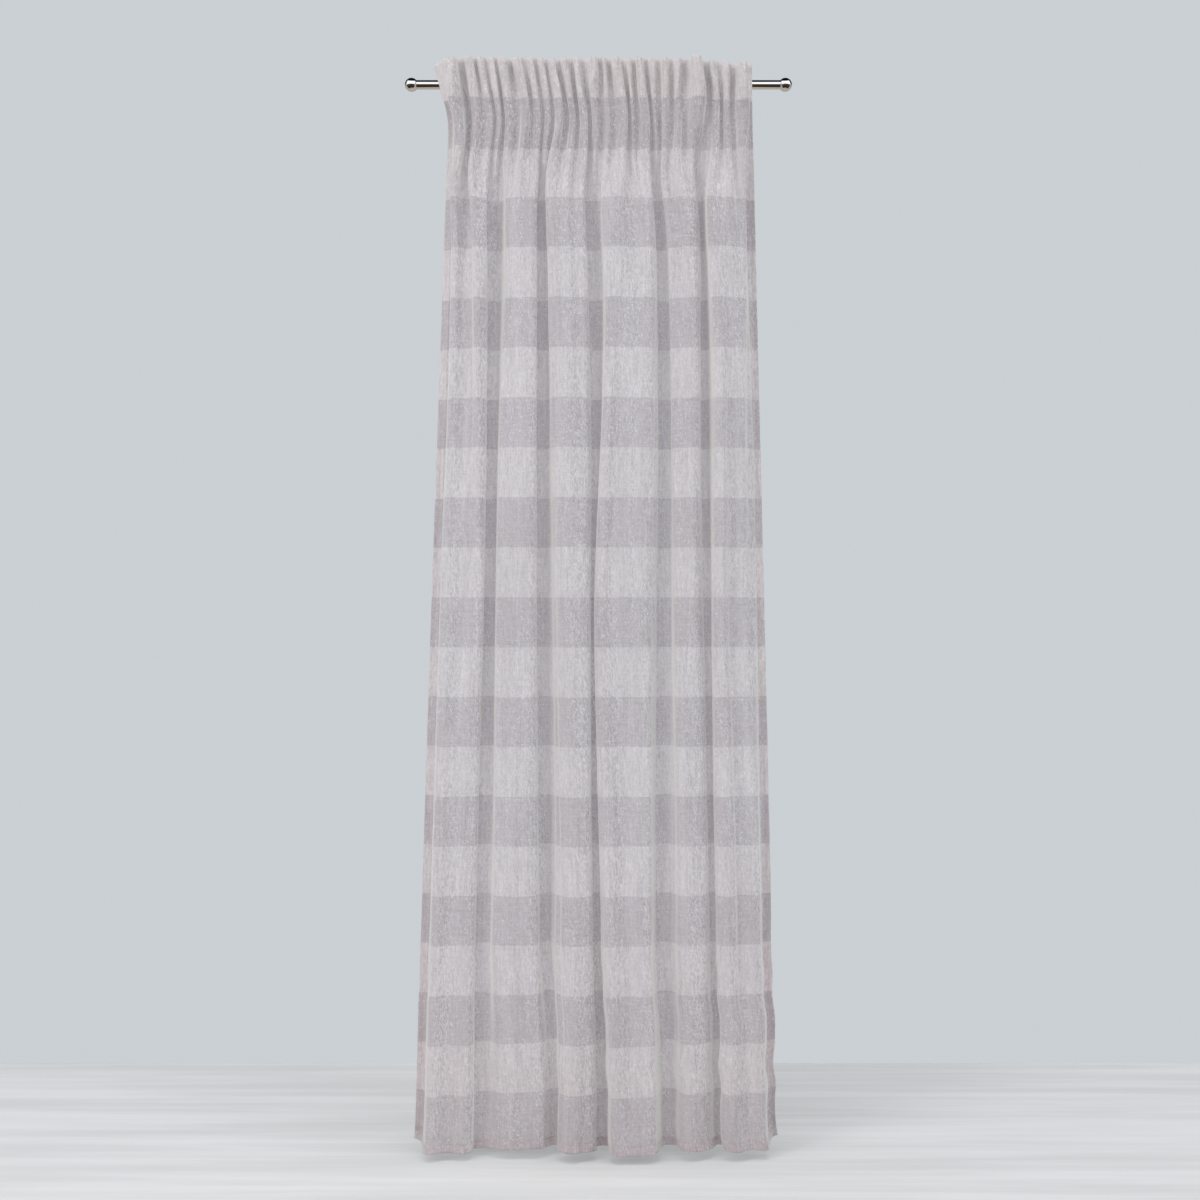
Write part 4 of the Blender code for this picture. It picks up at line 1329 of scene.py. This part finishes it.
class CURTAIN_OT_finials(bpy.types.Operator):
    """Turn the two ball finials and their plugs"""

    bl_idname = "curtain.turn_finials"
    bl_label = "Turn the finials"

    # The ball's seat: a raised ring, then a bore for the plug.
    RING_INSET = 0.0004
    RING_STEP = 0.0002
    RING_WIDTH = 0.0042
    BORE_DEPTH = 0.0105
    # The plug: a smooth nose that sits in the ball, then a ribbed body that sits in the tube.
    PLUG_BODY = 0.020
    NOSE = 0.0050
    NOSE_CHAMFER = 0.0006
    BODY_CHAMFER = 0.0012
    RIBS = 5
    RIB_PITCH = 0.0034
    RIB_RISE = 0.0007
    FIRST_RIB = 0.0022
    # One rib's outline: distances along it, and its rise there as a share.
    RIB_OUTLINE = ((0.0, 0.0), (0.0004, 1.0), (0.0012, 1.0), (0.0018, 0.0))

    def execute(self, context):
        for side, outward in (("left", -1), ("right", 1)):
            self.ball(context, side, outward)
            self.plug(context, side, outward)
        return {"FINISHED"}

    def ball(self, context, side, outward):
        """A ball cut flat at its seat, with a bored hole for the plug."""
        low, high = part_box(f"finial_ball_{side}")
        radius = (high.z - low.z) / 2
        outer = high.x if outward > 0 else low.x
        centre = Vector((outer - outward * radius, ROD_MIDDLE.y, ROD_MIDDLE.z))
        seat = low.x if outward > 0 else high.x
        deselect()
        bpy.ops.mesh.primitive_uv_sphere_add(
            segments=72, ring_count=48, radius=radius, location=centre, rotation=AXIS_TURNS["X"]
        )
        ball = bpy.context.object
        ball.name = f"finial_{side}"
        settle(ball)
        bpy.ops.object.mode_set(mode="EDIT")
        bpy.ops.mesh.select_all(action="SELECT")
        bpy.ops.mesh.bisect(
            plane_co=(seat, centre.y, centre.z),
            plane_no=(outward, 0, 0),
            use_fill=True,
            clear_inner=True,
        )
        bpy.ops.object.mode_set(mode="OBJECT")
        seat_face = max(ball.data.polygons, key=lambda face: face.area)
        for face in ball.data.polygons:
            face.select = face == seat_face
        bpy.ops.object.mode_set(mode="EDIT")
        bpy.ops.mesh.inset(thickness=self.RING_INSET)
        step = (-outward * self.RING_STEP, 0, 0)
        bpy.ops.mesh.extrude_region_move(TRANSFORM_OT_translate={"value": step})
        bpy.ops.mesh.inset(thickness=self.RING_WIDTH)
        bore = (outward * self.BORE_DEPTH, 0, 0)
        bpy.ops.mesh.extrude_region_move(TRANSFORM_OT_translate={"value": bore})
        bpy.ops.object.mode_set(mode="OBJECT")
        ball.data.materials.append(finishes(context).chrome)
        shade(ball, 40.0)
        place_piece(ball, f"finial_{side}", "rod_chrome", f"finial_ball_{side}")

    def plug(self, context, side, outward):
        """A ribbed plug, drawn out of a disc step by step from its nose."""
        low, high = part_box(f"finial_plug_{side}")
        ribs = (high.z - low.z) / 2
        inner, outer = (low.x, high.x) if outward > 0 else (high.x, low.x)
        seat = inner + outward * self.PLUG_BODY
        body = ribs - self.RIB_RISE
        nose_edge = outer - outward * self.NOSE_CHAMFER
        section = [(outer, self.NOSE - self.NOSE_CHAMFER), (nose_edge, self.NOSE)]
        section += [(seat, self.NOSE), (seat, body)]
        for rib in range(self.RIBS):
            start = seat - outward * (self.FIRST_RIB + self.RIB_PITCH * rib)
            for back, rise in self.RIB_OUTLINE:
                section.append((start - outward * back, body + rise * self.RIB_RISE))
        body_edge = inner + outward * self.BODY_CHAMFER
        section += [(body_edge, body), (inner, body - self.BODY_CHAMFER)]
        deselect()
        bpy.ops.mesh.primitive_circle_add(
            vertices=48,
            radius=section[0][1],
            fill_type="NGON",
            location=(outer, ROD_MIDDLE.y, ROD_MIDDLE.z),
            rotation=AXIS_TURNS["X"],
        )
        plug = bpy.context.object
        plug.name = f"plug_{side}"
        settle(plug)
        bpy.ops.object.mode_set(mode="EDIT")
        bpy.ops.mesh.select_all(action="SELECT")
        for (x, radius), (next_x, next_radius) in zip(section, section[1:]):
            bpy.ops.mesh.extrude_region_move(TRANSFORM_OT_translate={"value": (next_x - x, 0, 0)})
            grow = next_radius / radius
            bpy.ops.transform.resize(
                value=(1, grow, grow), center_override=(next_x, ROD_MIDDLE.y, ROD_MIDDLE.z)
            )
        bpy.ops.mesh.select_all(action="SELECT")
        bpy.ops.mesh.normals_make_consistent(inside=False)
        bpy.ops.object.mode_set(mode="OBJECT")
        plug.data.materials.append(finishes(context).plug)
        shade(plug)
        place_piece(plug, f"finial_{side}", "plug_plastic", f"finial_plug_{side}")


class CURTAIN_OT_brackets(bpy.types.Operator):
    """Make the wall plates, arms, cups and lock screws"""

    bl_idname = "curtain.make_brackets"
    bl_label = "Make the brackets"

    # The play between two pieces that fit together.
    FIT = 0.0003
    PLATE_ROUND = 0.0012
    PLATE_EDGE = 0.00015
    CUP_EDGE = 0.0004
    HOLE_SPACING = 0.030
    HOLE_RADIUS = 0.0024
    SINK_RADIUS = 0.0046
    SINK_DEPTH = 0.0022
    ARM_ROUND = 0.0006
    SPIGOT_RADIUS = 0.004
    BACK_BOSS = 0.007
    LOW_BOSS = 0.005
    BOSS_START = 0.006
    BORE_DEPTH = 0.007
    SCREW_HOLE = 0.0023
    SHANK = 0.002
    HEAD_HEIGHT = 0.006
    HEAD_FACETS = 30
    HEAD_ROUND = 0.0005
    KNURL_EDGE = 0.0002
    KNURL_DEPTH = 0.0003

    def execute(self, context):
        for side in ("left", "right"):
            self.plate(context, side)
            self.arm(context, side)
            self.cup(context, side)
            self.lock_screw(context, side)
        return {"FINISHED"}

    def finish(self, context, obj, body, slot, node):
        """Plate the piece and hand it over."""
        obj.data.materials.append(finishes(context).bracket)
        shade(obj)
        place_piece(obj, body, slot, node)

    def plate(self, context, side):
        """A round plate with a rounded rim, a hole for the arm and two countersunk screw holes."""
        low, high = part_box(f"wall_plate_{side}")
        centre, thick = (low + high) / 2, high.y - low.y
        plate = round_bar(f"plate_{side}", (high.z - low.z) / 2, thick, centre, "Y", 96)
        pick_edges(plate, lambda a, b: max(a.y, b.y) < low.y + thick / 2)
        bpy.ops.mesh.bevel(offset=self.PLATE_ROUND, segments=4, affect="EDGES")
        arm_hole = round_bar("arm hole", self.SPIGOT_RADIUS + self.FIT, 3 * thick, centre, "Y", 48)
        merge_tool(plate, arm_hole, "DIFFERENCE")
        for end in (-1, 1):
            place = centre + Vector((0, 0, end * self.HOLE_SPACING / 2))
            through = round_bar("screw hole", self.HOLE_RADIUS, 3 * thick, place, "Y", 40)
            merge_tool(plate, through, "DIFFERENCE")
            place.y = low.y + self.SINK_DEPTH / 2
            sink = round_bar("sink", self.HOLE_RADIUS, self.SINK_DEPTH, place, "Y", 40, self.SINK_RADIUS)
            merge_tool(plate, sink, "DIFFERENCE")
        soften(plate, self.PLATE_EDGE)
        self.finish(context, plate, "brackets", "bracket_chrome", f"wall_plate_{side}")

    def arm(self, context, side):
        """A round arm with a spigot drawn out of each end."""
        low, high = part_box(f"bracket_arm_{side}")
        radius = (high.z - low.z) / 2
        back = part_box(f"wall_plate_{side}")[0].y - self.FIT
        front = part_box(f"rod_cup_{side}")[1].y + self.FIT
        centre = Vector(((low.x + high.x) / 2, (back + front) / 2, (low.z + high.z) / 2))
        arm = round_bar(f"arm_{side}", radius, back - front, centre, "Y")
        pick_edges(arm, lambda a, b: abs(a.y - b.y) < self.FIT)
        bpy.ops.mesh.bevel(offset=self.ARM_ROUND, segments=3, affect="EDGES")
        for end, reach in ((1, high.y - back), (-1, front - low.y)):
            pick_faces(arm, lambda face: face.normal.y * end > 0.99)
            bpy.ops.mesh.inset(thickness=radius - self.ARM_ROUND - self.SPIGOT_RADIUS)
            bpy.ops.mesh.extrude_region_move(TRANSFORM_OT_translate={"value": (0, end * reach, 0)})
        self.finish(context, arm, "brackets", "bracket_chrome", f"bracket_arm_{side}")

    def channel(self, name, radius, width, centre, top):
        """A bar with a half-round underside and straight sides up to its top."""
        bar = round_bar(name, radius, width, centre, "X", 96)
        bpy.ops.object.mode_set(mode="EDIT")
        bpy.ops.mesh.select_all(action="SELECT")
        bpy.ops.mesh.bisect(plane_co=centre, plane_no=(0, 0, 1), use_fill=True, clear_outer=True)
        pick_faces(bar, lambda face: face.normal.z > 0.99)
        bpy.ops.mesh.extrude_region_move(TRANSFORM_OT_translate={"value": (0, 0, top - centre.z)})
        return bar

    def cup(self, context, side):
        """An open cup, with a boss behind it for the arm and one below it for the lock screw."""
        low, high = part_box(f"rod_cup_{side}")
        centre = Vector(((low.x + high.x) / 2, ROD_MIDDLE.y, ROD_MIDDLE.z))
        width = high.x - low.x
        cup = self.channel(f"cup_{side}", centre.y - low.y, width, centre, high.z)
        start, end = centre.y + self.BOSS_START, high.y
        place = Vector((centre.x, (start + end) / 2, centre.z))
        merge_tool(cup, round_bar("back boss", self.BACK_BOSS, end - start, place, "Y"), "UNION")
        start, end = low.z, centre.z - self.BOSS_START
        place = Vector((centre.x, centre.y, (start + end) / 2))
        merge_tool(cup, round_bar("low boss", self.LOW_BOSS, end - start, place, "Z"), "UNION")
        room = self.channel("room", ROD_RADIUS + self.FIT, 3 * width, centre, high.z + width)
        merge_tool(cup, room, "DIFFERENCE")
        place = Vector((centre.x, high.y, centre.z))
        bore = round_bar("bore", self.SPIGOT_RADIUS + self.FIT, 2 * self.BORE_DEPTH, place, "Y", 48)
        merge_tool(cup, bore, "DIFFERENCE")
        place = Vector((centre.x, centre.y, low.z))
        merge_tool(cup, round_bar("screw way", self.SCREW_HOLE, 2 * width, place, "Z", 40), "DIFFERENCE")
        soften(cup, self.CUP_EDGE)
        self.finish(context, cup, "brackets", "bracket_chrome", f"rod_cup_{side}")

    def lock_screw(self, context, side):
        """A thumb screw with a knurled head."""
        low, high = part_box(f"lock_screw_{side}")
        radius = (high.x - low.x) / 2
        place = Vector(((low.x + high.x) / 2, (low.y + high.y) / 2, low.z + self.HEAD_HEIGHT / 2))
        screw = round_bar(f"screw_{side}", radius, self.HEAD_HEIGHT, place, "Z", self.HEAD_FACETS)
        pick_edges(screw, lambda a, b: abs(a.z - b.z) < self.FIT)
        bpy.ops.mesh.bevel(offset=self.HEAD_ROUND, segments=2, affect="EDGES")
        pick_faces(screw, lambda face: abs(face.normal.z) < 0.05)
        bpy.ops.mesh.inset(thickness=self.KNURL_EDGE, depth=-self.KNURL_DEPTH, use_individual=True)
        pick_faces(screw, lambda face: face.normal.z > 0.99)
        bpy.ops.mesh.inset(thickness=radius - self.HEAD_ROUND - self.SHANK)
        reach = high.z - low.z - self.HEAD_HEIGHT
        bpy.ops.mesh.extrude_region_move(TRANSFORM_OT_translate={"value": (0, 0, reach)})
        self.finish(context, screw, f"lock_screw_{side}", "screw_chrome", f"lock_screw_{side}")


class CURTAIN_OT_panel(bpy.types.Operator):
    """Sew the banded panel and hang it in its folds"""

    bl_idname = "curtain.sew_panel"
    bl_label = "Sew the panel"

    # How far the panel reaches into the hems.
    SEAM = 0.0010

    def execute(self, context):
        sizes = context.scene.curtain_sizes
        cloth = hung_cloth(context)
        start = sizes.side_hem - self.SEAM
        across = np.linspace(start, sizes.flat_width - start, sizes.columns + 1)
        down = crowded_rows(0.0, cloth.drop - sizes.hem_height + self.SEAM, sizes.rows)
        points = cloth.grid(across, down)
        panel = cloth_grid("panel", points, across, down, finishes(context).cloth)
        place_piece(panel, "curtain", "curtain_cloth", "curtain_panel")
        gather(panel)
        return {"FINISHED"}


class CURTAIN_OT_hems(bpy.types.Operator):
    """Turn the side hems and the bottom hem, each as a strip of doubled cloth"""

    bl_idname = "curtain.turn_hems"
    bl_label = "Turn the hems"

    THICKNESS = 0.0009
    LINES_ACROSS = 8
    LINES_DOWN = 7

    def execute(self, context):
        sizes = context.scene.curtain_sizes
        cloth = hung_cloth(context)
        drop, width = cloth.drop, sizes.flat_width
        rows = crowded_rows(0.0, drop - sizes.hem_height, sizes.rows)
        for side, start in (("left", 0.0), ("right", width - sizes.side_hem)):
            across = np.linspace(start, start + sizes.side_hem, self.LINES_ACROSS)
            self.strip(context, f"hem_{side}", cloth, across, rows, f"side_hem_{side}")
        across = np.linspace(0.0, width, sizes.columns + 1)
        down = np.linspace(drop - sizes.hem_height, drop, self.LINES_DOWN)
        self.strip(context, "hem_bottom", cloth, across, down, "bottom_hem")
        return {"FINISHED"}

    def strip(self, context, name, cloth, across, down, node):
        """One strip of doubled cloth."""
        points = cloth.grid(across, down)
        hem = cloth_grid(name, points, across, down, finishes(context).hem)
        thicken(hem, self.THICKNESS)
        place_piece(hem, "curtain", "hem_cloth", node)
        gather(hem)


class CURTAIN_OT_tape(bpy.types.Operator):
    """Weave the heading tape behind the header"""

    bl_idname = "curtain.weave_tape"
    bl_label = "Weave the heading tape"

    BEHIND = 0.0010
    THICKNESS = 0.0006
    EDGE = 0.003
    ROWS = 84
    # The two woven cord channels, as shares of the tape's height, and the lines that sew it on.
    CHANNELS = (0.10, 0.52)
    CHANNEL_HALF = 0.035
    CHANNEL_RISE = 0.0007
    SEWN_LINES = (0.035, 0.165, 0.45, 0.59, 0.965)

    def execute(self, context):
        sizes = context.scene.curtain_sizes
        cloth = hung_cloth(context)
        across = np.linspace(self.EDGE, sizes.flat_width - self.EDGE, sizes.columns + 1)
        share = np.linspace(0, 1, self.ROWS + 1)
        down = sizes.tape_inset + share * sizes.tape_height
        flat = cloth.grid(across, down, self.BEHIND)
        raised = cloth.grid(across, down, self.BEHIND + self.CHANNEL_RISE)
        away = [np.abs(share - channel) for channel in self.CHANNELS]
        rise = sum(1 - ease(from_channel, 0.0, self.CHANNEL_HALF) for from_channel in away)
        points = flat + (raised - flat) * rise[:, None, None]
        tape = cloth_grid("tape", points, across, down, finishes(context).tape)
        thicken(tape, self.THICKNESS)
        place_piece(tape, "curtain", "heading_tape", "heading_tape")
        gather(tape)
        return {"FINISHED"}


class CURTAIN_OT_loops(bpy.types.Operator):
    """Sew the hidden loops to the tape"""

    bl_idname = "curtain.sew_loops"
    bl_label = "Sew the loops"

    THICKNESS = 0.001
    EDGE_ROUND = 0.0002
    # Heights over the rod's middle where the strap leaves the tape, and to which it lies flat on it.
    LEAVES_TAPE = 0.013
    FLAT_UNTIL = 0.022
    CORNER = 0.0016
    CORNER_STEPS = 4
    ARC_STEPS = 24
    STITCH = (0.0022, 0.0005, 0.0006)
    STITCHES = 4
    ROW_INSETS = (0.0022, 0.0140)

    def execute(self, context):
        path = self.path()
        strap = self.strap(context, path)
        stitches = self.stitches(context)
        for number, node in enumerate(LOOP_NODES):
            if number == 0:
                body, piece, thread = "curtain", strap, stitches
            else:
                shift = (LOOP_XS[number] - LOOP_XS[0], 0, 0)
                body, label = node, f"{number + 1:02d}"
                piece = duplicate(strap, f"strap_{label}", shift)
                thread = duplicate(stitches, f"stitches_{label}", shift)
            place_piece(piece, body, "loop_webbing", node)
            place_piece(thread, body, "loop_webbing")
        sizes = context.scene.curtain_sizes
        panel, hems, tape = self.sewn(context)
        cut = (sizes.flat_width, hung_cloth(context).drop)
        return {"FINISHED"}

    @staticmethod
    def sewn(context):
        """The panel, its hems and its tape."""
        objects = context.scene.objects
        hems = [objects[name] for name in ("hem_left", "hem_right", "hem_bottom")]
        return objects["panel"], hems, objects["tape"]

    def path(self):
        """The strap's route: down the tape, over the rod, round behind it and back up the tape."""
        radius = LOOP_HIGH.y - ROD_MIDDLE.y - self.THICKNESS / 2
        ear = LOOP_FRONT_Y - ROD_MIDDLE.y + self.THICKNESS / 2
        corner = np.array([ear, self.LEAVES_TAPE])
        reach = float(np.hypot(*corner))
        start = float(np.arctan2(corner[1], corner[0]) - np.arccos(radius / reach))
        touch = radius * np.array([cos(start), sin(start)])
        towards = (touch - corner) / np.linalg.norm(touch - corner)
        before = corner + np.array([0, self.CORNER])
        after = corner + self.CORNER * towards
        points = [np.array([ear, LOOP_HIGH.z - ROD_MIDDLE.z]), np.array([ear, self.FLAT_UNTIL])]
        for t in np.linspace(0, 1, self.CORNER_STEPS + 1):
            points.append((1 - t) ** 2 * before + 2 * t * (1 - t) * corner + t * t * after)
        turns = np.linspace(start, -start, self.ARC_STEPS + 1)
        arc = [radius * np.array([cos(turn), sin(turn)]) for turn in turns]
        mirrored = [np.array([y, -z]) for y, z in reversed(points)]
        route = [*points, *arc, *mirrored]
        return [Vector((LOOP_XS[0], ROD_MIDDLE.y + y, ROD_MIDDLE.z + z)) for y, z in route]

    def strap(self, context, path):
        """One strap, drawn out of its end section along its route."""
        width = LOOP_HIGH.x - LOOP_LOW.x
        deselect()
        bpy.ops.mesh.primitive_plane_add(size=1.0, location=path[0])
        strap = bpy.context.object
        strap.name = "strap_01"
        strap.scale = (width, self.THICKNESS, 1.0)
        settle(strap)
        bpy.ops.object.mode_set(mode="EDIT")
        bpy.ops.mesh.select_all(action="SELECT")
        heading = -pi / 2
        for number, here in enumerate(path[1:], 1):
            before = path[number - 1]
            ahead = path[min(number + 1, len(path) - 1)]
            bpy.ops.mesh.extrude_region_move(TRANSFORM_OT_translate={"value": here - before})
            first, second = (here - before).normalized(), ahead - here
            tangent = first + second.normalized() if second.length > 0 else first
            turned = float(np.arctan2(tangent.z, tangent.y))
            change = (turned - heading + pi) % (2 * pi) - pi
            # The operator turns the other way round from the right-hand rule, so the change is negated.
            bpy.ops.transform.rotate(
                value=-change, orient_axis="X", orient_type="GLOBAL", center_override=here
            )
            heading = turned
        bpy.ops.mesh.select_all(action="SELECT")
        bpy.ops.mesh.normals_make_consistent(inside=False)
        bpy.ops.object.mode_set(mode="OBJECT")
        self.unroll(strap, path)
        soften(strap, self.EDGE_ROUND)
        strap.data.materials.append(finishes(context).webbing)
        shade(strap)
        return strap

    @staticmethod
    def unroll(strap, path):
        """Across and along the strap as its UV map, in metres."""
        mesh = strap.data
        while mesh.uv_layers:
            mesh.uv_layers.remove(mesh.uv_layers[0])
        layer = mesh.uv_layers.new(name=CLOTH_UV)
        places = np.array([point[1:] for point in path])
        along = np.concatenate([[0.0], np.cumsum(np.linalg.norm(np.diff(places, axis=0), axis=1))])
        for corner in mesh.loops:
            co = mesh.vertices[corner.vertex_index].co
            nearest = int(np.argmin(np.linalg.norm(places - np.array([co.y, co.z]), axis=1)))
            layer.data[corner.index].uv = (co.x - LOOP_LOW.x, along[nearest])

    def stitches(self, context):
        """Rows of stitches on both ears: one stitch shaped, then copied."""
        face_y = LOOP_FRONT_Y + self.THICKNESS
        deselect()
        bpy.ops.mesh.primitive_cube_add(size=1.0)
        stitch = bpy.context.object
        stitch.scale = self.STITCH
        settle(stitch)
        rounded = stitch.modifiers.new("Rounded", "SUBSURF")
        rounded.levels = 2
        apply_all(stitch)
        stitch.data.materials.append(finishes(context).stitch)
        bpy.ops.object.shade_smooth()
        gap = (LOOP_HIGH.x - LOOP_LOW.x) / (self.STITCHES + 0.6)
        copies = []
        for side in (-1, 1):
            for inset in self.ROW_INSETS:
                for number in range(self.STITCHES):
                    x = LOOP_XS[0] + (number - (self.STITCHES - 1) / 2) * gap
                    place = (x, face_y, side * (LOOP_HIGH.z - inset))
                    copies.append(duplicate(stitch, "stitch", place))
        only(stitch)
        bpy.ops.object.delete()
        for copy in copies:
            copy.select_set(True)
        bpy.context.view_layer.objects.active = copies[0]
        bpy.ops.object.join()
        copies[0].name = "stitches_01"
        return copies[0]


class CURTAIN_PT_panel(bpy.types.Panel):
    """Lists the steps of making the curtain"""

    bl_idname = "CURTAIN_PT_panel"
    bl_label = "Curtain on a Rod"
    bl_space_type = "VIEW_3D"
    bl_region_type = "UI"
    bl_category = "Curtain"

    def draw(self, context):
        layout = self.layout
        for group in (context.scene.curtain_sizes, context.scene.curtain_colours):
            column = layout.column(align=True)
            for name in group.__annotations__:
                column.prop(group, name)
        for operator in STEPS:
            layout.operator(operator.bl_idname)


GROUPS = (CurtainSizes, CurtainColours)
STEPS = (
    CURTAIN_OT_stage,
    CURTAIN_OT_rod,
    CURTAIN_OT_finials,
    CURTAIN_OT_brackets,
    CURTAIN_OT_panel,
    CURTAIN_OT_hems,
    CURTAIN_OT_tape,
    CURTAIN_OT_loops,
)


def register():
    """Register the settings, the steps and the panel."""
    for cls in (*GROUPS, *STEPS, CURTAIN_PT_panel):
        bpy.utils.register_class(cls)
    bpy.types.Scene.curtain_sizes = PointerProperty(type=CurtainSizes)
    bpy.types.Scene.curtain_colours = PointerProperty(type=CurtainColours)


def unregister():
    """Undo register."""
    del bpy.types.Scene.curtain_colours
    del bpy.types.Scene.curtain_sizes
    for cls in reversed((*GROUPS, *STEPS, CURTAIN_PT_panel)):
        bpy.utils.unregister_class(cls)


def main():
    """Register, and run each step."""
    register()
    bpy.ops.curtain.set_stage()
    bpy.ops.curtain.draw_rod()
    bpy.ops.curtain.turn_finials()
    bpy.ops.curtain.make_brackets()
    bpy.ops.curtain.sew_panel()
    bpy.ops.curtain.turn_hems()
    bpy.ops.curtain.weave_tape()
    bpy.ops.curtain.sew_loops()


if __name__ == "__main__":
    main()
